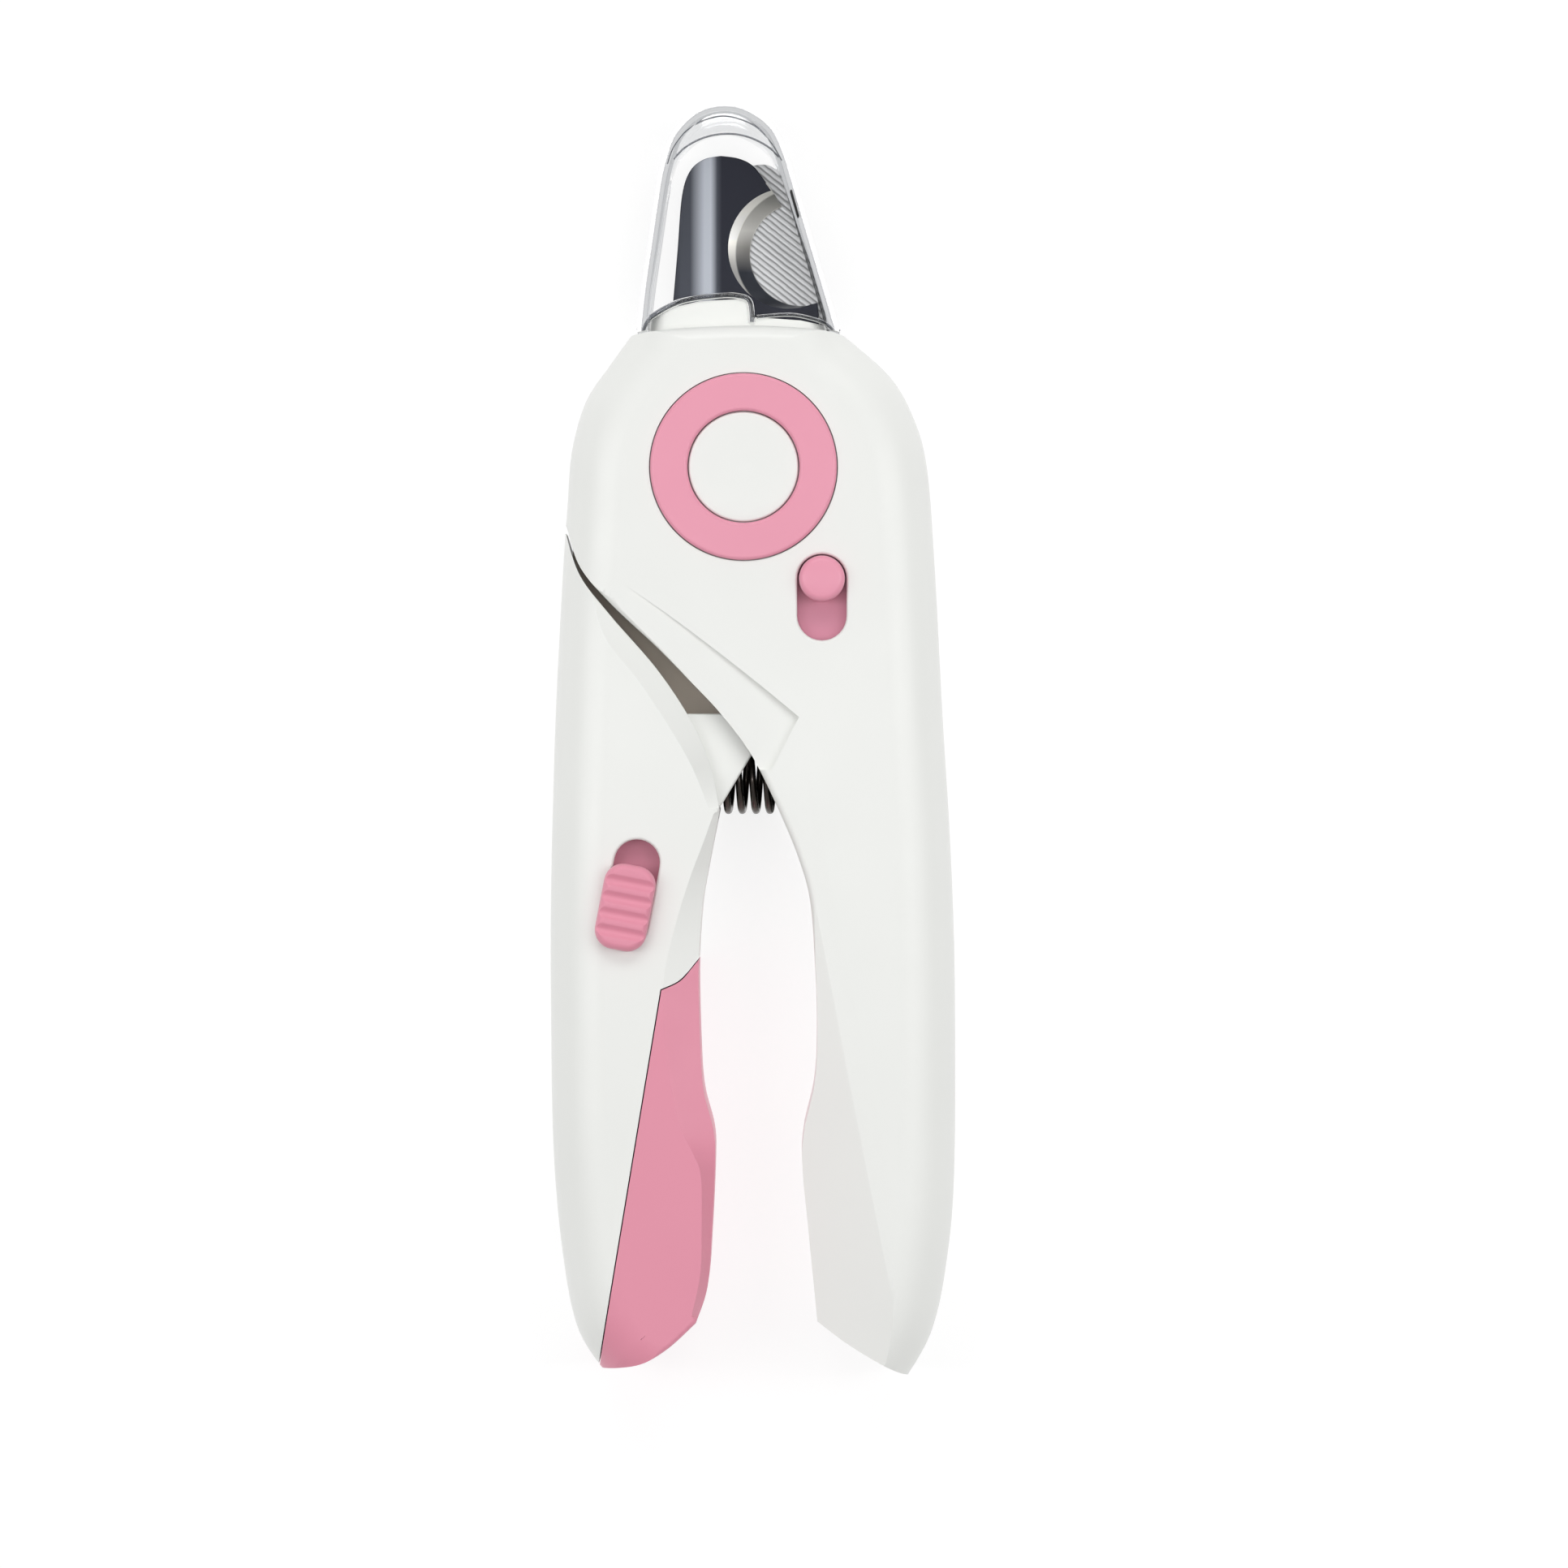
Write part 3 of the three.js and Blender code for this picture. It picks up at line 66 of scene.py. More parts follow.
def run(points, count, rise=0.0):
    """Evenly spaced points on a smooth curve through the listed ones, raised along Y."""
    p = np.array(points, float) + np.array([0.0, rise])
    dense = []
    for i in range(len(p) - 1):
        a, b = p[max(i - 1, 0)], p[i]
        c, d = p[i + 1], p[min(i + 2, len(p) - 1)]
        t = np.linspace(0, 1, 40, endpoint=i == len(p) - 2)[:, None]
        v0, v1 = (c - a) / 2, (d - b) / 2
        dense.append(
            (2 * b - 2 * c + v0 + v1) * t**3
            + (-3 * b + 3 * c - 2 * v0 - v1) * t**2
            + v0 * t
            + b
        )
    dense = np.vstack(dense)
    along = np.concatenate([[0], np.cumsum(np.linalg.norm(np.diff(dense, axis=0), axis=1))])
    at = np.linspace(0, along[-1], count + 1)
    return [(np.interp(s, along, dense[:, 0]), np.interp(s, along, dense[:, 1])) for s in at]


def counter_clockwise(points):
    x, y = np.array(points).T
    area = np.sum(x * np.roll(y, -1) - np.roll(x, -1) * y)
    return list(points) if area > 0 else list(points)[::-1]


def inset(points, distance):
    """Moves every corner of a counter-clockwise outline inwards."""
    p = np.array(points, float)
    first = p - np.roll(p, 1, axis=0)
    second = np.roll(p, -1, axis=0) - p
    first /= np.linalg.norm(first, axis=1)[:, None]
    second /= np.linalg.norm(second, axis=1)[:, None]
    normal = np.stack([-first[:, 1] - second[:, 1], first[:, 0] + second[:, 0]], axis=1)
    normal /= np.linalg.norm(normal, axis=1)[:, None]
    lean = np.maximum(0.5, -first[:, 1] * normal[:, 0] + first[:, 0] * normal[:, 1])
    moved_in = p + normal * (distance / lean)[:, None]
    if distance > 0.3:
        moved_in = uncrossed(moved_in, p, distance)
    return [tuple(q) for q in moved_in]


def uncrossed(ring, outline, distance):
    """Draws in the points of an inset ring that came nearer to the outline than they should."""
    start, step = outline, np.roll(outline, -1, axis=0) - outline
    length = np.sum(step * step, axis=1)
    to_ring = ring[:, None, :] - start[None, :, :]
    share = np.clip(np.sum(to_ring * step[None], axis=2) / length[None], 0, 1)
    nearest = np.linalg.norm(to_ring - share[:, :, None] * step[None], axis=2).min(axis=1)
    bad = nearest < distance * 0.985 - 0.004
    if not bad.any() or bad.all():
        return ring
    count = len(ring)
    fixed = ring.copy()
    for i in np.flatnonzero(bad):
        back, ahead = 1, 1
        while bad[(i - back) % count]:
            back += 1
        while bad[(i + ahead) % count]:
            ahead += 1
        low, high = ring[(i - back) % count], ring[(i + ahead) % count]
        fixed[i] = low + (high - low) * (back / (back + ahead))
    return fixed


def circle(x, y, radius, sides=48):
    turn = np.linspace(0, 2 * math.pi, sides, endpoint=False)
    return [(x + radius * math.cos(a), y + radius * math.sin(a)) for a in turn]


def stadium(radius, low, high):
    """A slot outline along Y with round ends centred at low and high."""
    sides = 16
    points = []
    for end, start in ((high, 0), (low, math.pi)):
        for a in np.linspace(start, start + math.pi, sides + 1):
            points.append((radius * math.cos(a), end + radius * math.sin(a)))
    return points


def pillow(half_width, half_length, corner):
    """A rectangle outline with round corners."""
    sides, x, y = 10, half_width - corner, half_length - corner
    points = []
    for k, (cx, cy) in enumerate(((x, y), (-x, y), (-x, -y), (x, -y))):
        for a in np.linspace(k * math.pi / 2, (k + 1) * math.pi / 2, sides + 1):
            points.append((cx + corner * math.cos(a), cy + corner * math.sin(a)))
    return points


def moved(points, x, y, angle=0.0):
    c, s = math.cos(angle), math.sin(angle)
    return [(x + px * c - py * s, y + px * s + py * c) for px, py in points]


def body_outline():
    left = [
        (-12.8, 15.2), (-15.2, 11.9), (-18, 7.7), (-19.6, 2.1), (-20.1, -4), (-20.7, -13),
        (-21.5, -29), (-22, -48), (-22, -62), (-21.7, -78), (-20.6, -90), (-18.9, -98.2), (-15.6, -103.4),
    ]
    base = [(-15.6, -103.4), (-8, -107.5), (2, -109), (11, -108), (18.4, -104)]
    right = [
        (18.4, -104), (21.4, -98.6), (23.1, -91), (24.05, -80), (24.1, -58), (23.6, -43), (22.7, -28),
        (21.8, -11), (20.9, 0.3), (19.3, 6), (16.6, 10.6), (11.4, 15.2),
    ]
    neck = [(9.4, 20), (7.4, 27)]
    throat = [(-8.6, 27), (-10.8, 20)]
    sides = run(left, 26 * FINE)[:-1] + run(base, 6 * FINE)[:-1] + run(right, 26 * FINE)
    return sides + neck + throat


SEAM = [
    (3.9, -38.7), (0.9, -32.7), (-2.6, -28), (-6.1, -24.3), (-9.9, -20.4), (-15.1, -15.5),
    (-18.6, -11.3), (-20.2, -6.6),
]
ARCH = [
    (8.4, -97.2), (7.4, -87.1), (6.7, -79.6), (6.9, -75.4), (8.1, -69.9), (8.4, -64), (8.2, -57.3),
    (7.6, -49.4), (6.1, -44), (3.9, -38.7),
]


def housing_outline():
    foot = [(19.4, -103.6), (16.9, -102.6), (12.1, -99.9), (8.4, -97.2)]
    return (
        [(OUTSIDE, 20), (-OUTSIDE, 20), (-OUTSIDE, -6.2)]
        + run(SEAM, 16 * FINE)[::-1]
        + run(ARCH, 22 * FINE)[::-1][1:]
        + run(foot, 5 * FINE)[::-1][1:]
        + [(OUTSIDE, -104)]
    )


def lever_outline():
    shoulder = [
        (-2.7, -38.9), (-3.9, -33.6), (-6.1, -28.6), (-9.9, -22.9), (-15.1, -16.9), (-18.6, -12.3),
        (-20.3, -7.4),
    ]
    inner = [
        (-5.4, -97.2), (-4.1, -93.2), (-3.6, -87), (-3.25, -79), (-3.4, -75.4), (-4.5, -71), (-4.9, -66),
        (-5.1, -57), (-4.7, -50), (-4, -45.6), (-2.7, -38.9),
    ]
    foot = [(-16.4, -102.6), (-12, -102), (-8.7, -100.2), (-5.4, -97.2)]
    return (
        [(-OUTSIDE, -7), (-OUTSIDE, -102.8)]
        + run(foot, 6 * FINE)
        + run(inner, 22 * FINE)[1:]
        + run(shoulder, 14 * FINE)[1:]
    )


def grip_outline(grow):
    top = run([(-9.3, -59.4), (-7.2, -58.4), (-5.6, -56.6), (-3, -53.4)], 5 * FINE)
    outline = top + [(OUTSIDE, -53), (OUTSIDE, -110), (-17.7, -110)]
    return inset(counter_clockwise(outline), -grow)


def cover_outline():
    left = [(-9.4, 35.2), (-9.9, 33), (-10.8, 27), (-11.8, 20), (-12.4, 14)]
    top = [(5.3, 35.2), (3.6, 39), (0.6, 41.3), (-2.5, 41.9), (-5.6, 41), (-8.2, 38.4), (-9.4, 35.2)]
    right = [(11.5, 14), (9.6, 20.5), (7.2, 28.6), (5.3, 35.2)]
    return (
        [(13.4, -8)]
        + run(right, 5 * FINE)[:-1]
        + run(top, 14 * FINE)
        + run(left, 5 * FINE)[1:]
        + [(-13.6, -8)]
    )


# ------------------------------------------------------------------ solids


class Solid:
    """A closed mesh in millimetres, with + for union, - for difference and & for intersection."""

    def __init__(self, vertices, faces):
        self.mesh = bpy.data.meshes.new("solid")
        self.mesh.from_pydata([tuple(map(float, v)) for v in vertices], [], [list(f) for f in faces])

    def _combine(self, other, operation):
        mine = bpy.data.objects.new("mine", self.mesh)
        theirs = bpy.data.objects.new("theirs", other.mesh)
        for made in (mine, theirs):
            bpy.context.scene.collection.objects.link(made)
        modifier = mine.modifiers.new("boolean", "BOOLEAN")
        modifier.solver = "MANIFOLD"
        modifier.operation = operation
        modifier.object = theirs
        graph = bpy.context.evaluated_depsgraph_get()
        result = Solid.__new__(Solid)
        result.mesh = bpy.data.meshes.new_from_object(mine.evaluated_get(graph))
        if not len(result.mesh.polygons):
            raise ValueError(f"an empty {operation.lower()}")
        for made in (mine, theirs):
            bpy.data.objects.remove(made)
        return result

    def __add__(self, other):
        return self._combine(other, "UNION")

    def __sub__(self, other):
        return self._combine(other, "DIFFERENCE")

    def __and__(self, other):
        return self._combine(other, "INTERSECT")


def stacked(rings, levels):
    """A solid lofted through equal-length rings of plan points at their levels."""
    n = len(rings[0])
    vertices = [(x, y, z) for ring, z in zip(rings, levels) for x, y in ring]
    faces = [list(range(n))[::-1]]
    for k in range(len(rings) - 1):
        low, high = k * n, (k + 1) * n
        for i in range(n):
            j = (i + 1) % n
            faces.append((low + i, low + j, high + j, high + i))
    faces.append([(len(rings) - 1) * n + i for i in range(n)])
    return Solid(vertices, faces)


def prism(points, low, high):
    ring = counter_clockwise(points)
    return stacked([ring, ring], [low, high])


def rimmed(ring, low, high, profile):
    """A slab whose rims follow (inset, drop) steps, which are meant to run from the face to the side."""
    rings = [inset(ring, w) for w, _ in profile] + [inset(ring, w) for w, _ in reversed(profile)]
    levels = [low + d for _, d in profile] + [high - d for _, d in reversed(profile)]
    return stacked(rings, levels)


def quarter_turn(steps):
    return [math.pi / 2 * i / steps for i in range(steps + 1)]


def edged(points, low, high, width, depth, steps=12):
    """A prism whose rims are rounded, width across and depth down."""
    profile = [(width * (1 - math.sin(a)), depth * (1 - math.cos(a))) for a in quarter_turn(steps)]
    return rimmed(counter_clockwise(points), low, high, profile)


def disc(x, y, radius, low, high, sides=64):
    return prism(circle(x, y, radius, sides), low, high)


def box(x0, x1, y0, y1, z0, z1):
    return prism([(x0, y0), (x1, y0), (x1, y1), (x0, y1)], z0, z1)


def turned(profile, x=0.0, y=0.0, sides=96):
    """A solid turned round a Z axis from (radius, z) points that run up its outside."""
    vertices, faces = [], []
    on_axis = [r < 1e-6 for r, _ in profile]
    rows = []
    for (r, z), centre in zip(profile, on_axis):
        if centre:
            rows.append([len(vertices)])
            vertices.append((x, y, z))
            continue
        rows.append(list(range(len(vertices), len(vertices) + sides)))
        for i in range(sides):
            a = 2 * math.pi * i / sides
            vertices.append((x + r * math.cos(a), y + r * math.sin(a), z))
    closed = not (on_axis[0] and on_axis[-1])
    pairs = list(zip(rows, rows[1:])) + ([(rows[-1], rows[0])] if closed else [])
    for low, high in pairs:
        for i in range(sides):
            j = (i + 1) % sides
            if len(low) == 1:
                faces.append((low[0], high[j], high[i]))
            elif len(high) == 1:
                faces.append((low[i], low[j], high[0]))
            else:
                faces.append((low[i], low[j], high[j], high[i]))
    return Solid(vertices, faces)


def half_space(point, normal):
    """Everything on the outer side of a plane."""
    size = 400.0
    turn = Vector((0, 0, 1)).rotation_difference(Vector(normal).normalized())
    corners = [(-size, -size), (size, -size), (size, size), (-size, size)]
    place = [Vector(point) + turn @ Vector((x, y, z)) for z in (0, size) for x, y in corners]
    faces = [(3, 2, 1, 0), (4, 5, 6, 7)] + [(i, (i + 1) % 4, (i + 1) % 4 + 4, i + 4) for i in range(4)]
    return Solid(place, faces)


def body(shrink=0.0):
    ring = inset(body_outline(), shrink)
    r = EDGE_ROUND - shrink
    return edged(ring, shrink, FRONT - shrink, r, r, steps=16)


# ----------------------------------------------------------------- housing

HOUSING_SCREWS = [(-15.1, 2.6), (16.4, 4.2), (16.4, -34), (16.4, -60), (16.2, -88)]
LEVER_SCREWS = [(-17.1, -23.5), (-16.4, -66), (-17.4, -88)]
SCREW_SINK = 1.4
RING_SEAT = 10.72
KNOB_X, KNOB_Y = 8.9, -12.7
KNOB_FLOOR = FRONT - WALL - 0.2
BLADE_STEEL = 1.8
MOVING_LOW = PARTING - 0.1 - BLADE_STEEL
FIXED_TOP = PARTING + BLADE_STEEL
COVER_LOW, COVER_HIGH, COVER_WALL, COVER_ROUND = 4.4, 16.4, 1.2, 3.6
COLLAR_GAP = 0.25


def facet(below=0.0):
    """Above the slanted plane along the right handle's inner side."""
    top, end = Vector((8.2, -50, FRONT - below)), Vector((18.7, -103.4, 0))
    along = Vector((end.x - top.x, end.y - top.y, 0)).normalized()
    slope = 0.42
    normal = Vector((along.y * slope, -along.x * slope, 1))
    zone = [(-OUTSIDE, -47.5), (-OUTSIDE, -120), (OUTSIDE, -120), (OUTSIDE, -47.5)]
    return half_space(top, normal) & prism(zone, PARTING - below, FRONT + 5)


def relief():
    """Above the shallow swept plane over the seam."""
    start, lean = (-13.2, -13.6), (0.03, -0.025, 1)
    crest = run([start, (-8.8, -16.6), (-4.6, -19.7), (1.2, -24.2), (6.3, -28.4)], 8 * FINE)
    zone = crest + [(3.2, -34.4), (-20, -34), (-26, -13)]
    return half_space((*start, FRONT), lean) & prism(zone, PARTING, FRONT + 5)


def hollow_body():
    """The cavity inside the housing, open through the seam."""
    inside = [(x, min(y, 13.2)) for x, y in inset(counter_clockwise(housing_outline()), WALL)]
    kept = body(WALL) & prism(inside, -1, FRONT + 1)
    upper = [(-OUTSIDE, -7.4), (-OUTSIDE, -30), (6.6, -30), (3, -20), (-10, -12), (-17.4, -7.4)]
    lower = [(-OUTSIDE, -26.8), (-OUTSIDE, -30), (-4, -41.2), (9.4, -41.2), (9.6, -36), (5.8, -26.8)]
    slot = box(-OUTSIDE, -16.9, -9, -1.7, PARTING + 0.9, PARTING + 2.2)
    mouth = prism(upper, WALL, PARTING + 2.2) + prism(lower, WALL, FRONT - WALL)
    return (kept - facet(2.2)) + mouth + slot


def collar():
    """The neck that the cover slides over."""
    low, high = COVER_LOW + COVER_WALL + COLLAR_GAP, COVER_HIGH - COVER_WALL - COLLAR_GAP
    r = COVER_ROUND - COVER_WALL - COLLAR_GAP
    whole = edged(inset(cover_outline(), COVER_WALL + COLLAR_GAP), low, high, r, r, steps=8)
    rim = [
        (-11, 12), (10, 12), (9.9, 16.2), (6.5, 16.9), (0.9, 17.3), (0.5, 19.4), (-5, 19.1),
        (-9, 18.2), (-10.7, 17),
    ]
    return whole & prism(rim, 0, FRONT)


def passage():
    """The room through the collar for the blades, their swing and the lamp."""
    low, high = MOVING_LOW - 0.3, FIXED_TOP + 0.3
    blades = prism([(-8.9, 8), (12, 8), (12, 30), (-8.9, 30)], low, high)
    swing = prism([(0, 4.5), (30, 4.5), (30, 30), (0, 30)], low, PARTING)
    lamp = prism([(-3.5, 8), (12.5, 8), (12.5, 30), (-3.5, 30)], 4, low + 1)
    return blades + swing + lamp


def halves(shape, front):
    """One half of a shell, front or back of the parting plane."""
    gap, far = 0.05, 200
    if front:
        return shape & box(-far, far, -far, far, PARTING + gap, 60)
    return shape & box(-far, far, -far, far, -20, PARTING - gap)


def countersinks(places):
    return [disc(x, y, 2.06, -1, SCREW_SINK + 1.3, 40) for x, y in places]


def top_arc(rise=0.0):
    """The housing's upper edge, a low arch from shoulder to shoulder."""
    return run([(11.6, 15.1), (8, 15.7), (1, 16.1), (-7, 15.8), (-13, 15.1)], 12 * FINE, rise)


def topped():
    """Everything below the arched upper edge, which is rounded over."""
    outline = [(-OUTSIDE, 15.1), (-OUTSIDE, -120), (OUTSIDE, -120), (OUTSIDE, 15.1)] + top_arc()
    return edged(outline, 0, FRONT, 1.8, 1.8, steps=10)


def housing(front):
    outer = (body() & topped()) & edged(housing_outline(), 0, FRONT, 0.7, 0.7, steps=6)
    shell = outer - hollow_body()
    shell = halves((shell + collar()) - passage(), front)
    if front:
        shell = shell - disc(0, 0, RING_SEAT, FRONT - 1.2, 50, 128)
        shell = (shell - facet()) - relief()
        slot = moved(stadium(2.8, -4.2, 0), KNOB_X, KNOB_Y)
        shell = shell - prism(slot, 0, 50)
        return shell - rim_softener(slot, 0.35)
    shell = shell + disc(0, 0, 6, 1, 4)
    shell = shell + box(9.95, 11.55, -40.1, -30.9, 1.5, PARTING - 0.3)
    for hole in countersinks(HOUSING_SCREWS):
        shell = shell - hole
    return shell


def rim_softener(outline, size):
    """A flared ring that takes the edge off a slot in the front face."""
    ring = counter_clockwise(outline)
    rings, levels = [inset(ring, 0.2)], [FRONT - size - 0.6]
    for i in range(6):
        a = math.pi / 2 * i / 5
        rings.append(inset(ring, -size * (1 - math.cos(a))))
        levels.append(FRONT - size + size * math.sin(a))
    rings.append(inset(ring, -size))
    levels.append(FRONT + 2)
    return stacked(rings, levels)


# ------------------------------------------------------------------- lever

SLIDER_X, SLIDER_Y, SLIDER_TILT = -13.1, -50.1, -math.radians(11)
SLIDER_FLOOR = FRONT - WALL - 0.4
LIP_LOW, LIP_TOP = PARTING + 1.2, PARTING + 1.9
GRIP_FIT = 0.14
RIVETS = [(-10.2, -17.5), (-12.8, -27.5)]
DOOR_SCREW = (-13.3, -55.1)
CELLS = (-13.3, -48.3)


def on_slider(points):
    return moved(points, SLIDER_X, SLIDER_Y, SLIDER_TILT)


def bevel_cut(ridge, rim, drop):
    """Above a slanted band that falls from the ridge line to the rim line, ending past the rim."""
    reach, above = 1.8, 40
    vertices, faces = [], []
    for inner, outer, fall in zip(ridge, rim, drop):
        x, y = (inner[k] + (outer[k] - inner[k]) * reach for k in (0, 1))
        vertices += [(*inner, FRONT + 0.01), (x, y, FRONT - fall * reach), (x, y, above), (*inner, above)]
    for i in range(0, len(vertices) - 4, 4):
        for k in range(4):
            j = (k + 1) % 4
            faces.append((i + k, i + j, i + 4 + j, i + 4 + k))
    faces += [(3, 2, 1, 0), tuple(len(vertices) - 4 + k for k in range(4))]
    made = Solid(vertices, faces)
    work = bmesh.new()
    work.from_mesh(made.mesh)
    bmesh.ops.recalc_face_normals(work, faces=work.faces)
    work.to_mesh(made.mesh)
    work.free()
    return made


def shoulder_bevel():
    """The bright band along the lever's shoulder."""
    ridge = [(-20.6, -8.6), (-19.4, -11.6), (-16.7, -18.2), (-11.5, -24.9), (-6.4, -33), (-3.9, -38.9)]
    rim = [(-20.3, -7.4), (-18.4, -12.1), (-12.7, -19.8), (-8.2, -25.2), (-4.6, -31.6), (-2.7, -38.7)]
    fall = np.interp(range(49), (0, 30, 42, 48), (0.6, 1.5, 1.7, 0.4))
    return bevel_cut(run(ridge, 48), run(rim, 48), fall)


def inner_bevel():
    """The slope along the lever's inner edge: wide at the grip's top, narrow below its swell."""
    ridge = [
        (-3.4, -39.4), (-4.7, -43), (-6, -46.4), (-7.4, -50.8), (-8.6, -55.6), (-9.15, -59.6),
        (-9, -63.8), (-8.4, -69.4), (-7.2, -74.8), (-5.7, -78), (-4.85, -80.4), (-4.75, -85.9),
        (-4.9, -91.5), (-5.9, -96.4),
    ]
    rim = [
        (-2.7, -39), (-3.5, -43), (-4.1, -46.2), (-4.7, -50.4), (-5, -55.4), (-5.05, -59.4),
        (-4.95, -64), (-4.55, -69.6), (-3.5, -74.4), (-3.2, -77.6), (-3.3, -80.6), (-3.55, -86),
        (-4.1, -92), (-5.2, -96.8),
    ]
    line = run(ridge, 96)
    below_pivot = (39, 46, 50, 55, 60, 70, 75, 78, 80.5, 97)
    depth = (0.5, 1.4, 1.4, 1.45, 1.55, 1.65, 1.8, 1.9, 2.1, 1.5)
    fall = np.interp([-y for _, y in line], below_pivot, depth)
    return bevel_cut(line, run(rim, 96), fall)


def lever_whole():
    shape = body() & edged(lever_outline(), 0, FRONT, 0.55, 0.55, steps=8)
    return (shape - shoulder_bevel()) - inner_bevel()


def lever_hollow():
    """The cavity inside the lever, with more wall along the bevels."""
    inner, wall = counter_clockwise(lever_outline()), WALL + 0.8
    kept = body(WALL) & edged(inset(inner, wall), WALL, FRONT - WALL - 0.8, 2.6, 2.2, steps=3)
    return kept - prism(grip_outline(WALL), -1, FRONT + 1)


def lever_arm():
    """The bar from the lever past the pivot, which carries the moving blade and holds the lamp."""
    left = [(-8.2, 1), (-9.4, -6), (-11.4, -13), (-13.6, -21), (-14.6, -30)]
    right = [(-8.8, -31.5), (-7.6, -24), (-5, -16), (-1, -9)]
    bar = prism(run(left, 24) + run(right, 24) + [(3, -4), (3, 4), (-3, 5)], 4.2, 8.4)
    holder = box(-1.6, 4.6, 4, 13, 4.2, 8.4)
    return (bar + disc(0, 0, 8.4, 4.2, 8.4) + holder) - disc(0, 0, 2.56, 0, FRONT)


def lever_web():
    """The plate that joins the arm to the lever's wall."""
    points = [
        (-13.5, -13), (-16.5, -15.5), (-14, -24), (-8, -34), (-3, -37.4), (1.5, -30), (0.5, -22),
        (-3, -14), (-9, -12),
    ]
    return prism(points, 2.4, 4.3)


def tang_room():
    """Room for the moving blade's tang."""
    tang = [(-15, -31), (-9.2, -31.6), (-7.6, -22), (-4.6, -9.5), (-9.6, -4), (-11.6, -14)]
    return prism(inset(counter_clockwise(tang), -0.3), 8.4, PARTING + 1)


def spring_mouth():
    """The opening that the spring comes out of."""
    return box(-6.5, 6, -39.9, -31.1, 5.6, 14.4)


def tongue():
    """The plate that covers the upper left part of the spring."""
    points = [(-12, -28), (-12, -38.4), (-3, -38.9), (-2.4, -38.2), (1, -32.6), (-1.6, -28)]
    return edged(points, 15, 17.6, 0.25, 0.25, steps=3)


def seam_lip():
    """The plate seen at the bottom of the gap between housing and lever."""
    points = [
        (-19.6, -8.2), (-19.4, -13.4), (-16, -18.5), (-11, -24), (-6, -31), (0.2, -31), (-0.8, -27.6),
        (-3.6, -23.6), (-7.6, -19.2), (-12.2, -14.8), (-16.2, -10.6), (-17.6, -8.2),
    ]
    return prism(points, LIP_LOW, LIP_TOP)


def door_outline(grow):
    left, right, foot, head = -19.1 - grow, -7.5 + grow, -57.7 - grow, -41.5 + grow
    return [(left, foot), (right, foot), (right, head), (left, head)]


def lever(front):
    shell = halves(lever_whole() - lever_hollow(), front)
    if front:
        shell = (shell + tongue()) - prism(grip_outline(GRIP_FIT), -1, FRONT + 1)
        slot = on_slider(stadium(2.6, -1.8, 5.3))
        shell = ((shell - spring_mouth()) - prism(slot, 5, 50)) - tang_room()
        shell = shell + seam_lip()
        return shell - rim_softener(slot, 0.35)
    shell = shell + lever_arm() + lever_web()
    shell = shell + box(-7.95, -6.35, -40.1, -31.5, 1.5, PARTING - 0.3)
    shell = shell - prism(grip_outline(GRIP_FIT), -1, FRONT + 1)
    shell = (shell - spring_mouth()) - tang_room()
    shell = shell - prism(door_outline(0.15), -1, 1.65)
    for x, y in RIVETS:
        shell = shell - disc(x, y, 2.05, 2, 4.2, 32) - disc(x, y, 1.25, 2, 17, 32)
    led_room = box(-0.1, 3.1, 10, 18, 4, 9)
    shell = (shell - led_room) - disc(*CELLS, 5.3, 0, 3, 64)
    for hole in countersinks(LEVER_SCREWS):
        shell = shell - hole
    return shell


def grip():
    return lever_whole() & prism(grip_outline(0), -1, FRONT + 1)


# ------------------------------------------------------------------ blades

FIXED_NOTCH, MOVING_NOTCH, NOTCH_RADIUS = (6.6, 24.7), (-5.9, 24.7), 5.9


def notch_cone(x, y, lean, low, high):
    """The ground bevel: a leaning cone that opens towards the high side."""
    rings, levels = [], []
    for i in range(9):
        t = i / 8 * 1.12
        rings.append(circle(x + lean * 1.5 * t, y + 0.6 * t, NOTCH_RADIUS + 1.0 * t, 128))
        levels.append(low + (high - low) * t)
    if levels[-1] < levels[0]:
        rings, levels = rings[::-1], levels[::-1]
    return stacked(rings, levels)


def fixed_blade():
    head = run([(-8.2, 18), (-7.6, 25), (-7.1, 31.2), (-6.2, 34.1), (-4.6, 35.5), (-2.6, 35.9)], 48)
    hook = run([(-2.6, 35.9), (-0.6, 35.6), (1, 34.8), (2.3, 33.2), (3.6, 31.4)], 32)
    tang = run([(10.6, 8), (12.4, -5), (14.6, -14), (15.4, -27)], 24)
    inside = run([(10.8, -28.4), (9, -17), (4.5, -9.6), (-4, -9), (-8.6, -5), (-9, 5), (-8.4, 17)], 48)
    outline = head[::-1] + inside[::-1] + tang[::-1] + [(9, 14), (8.5, 18.6), (8, 24)] + hook[::-1][:-1]
    blade = edged(outline, PARTING, FIXED_TOP, 0.1, 0.1, steps=2)
    blade = blade - disc(*FIXED_NOTCH, NOTCH_RADIUS, 0, 30, 128)
    blade = blade - notch_cone(*FIXED_NOTCH, -1, PARTING + 0.3, FIXED_TOP)
    return blade - disc(0, 0, 2.53, 0, FRONT)


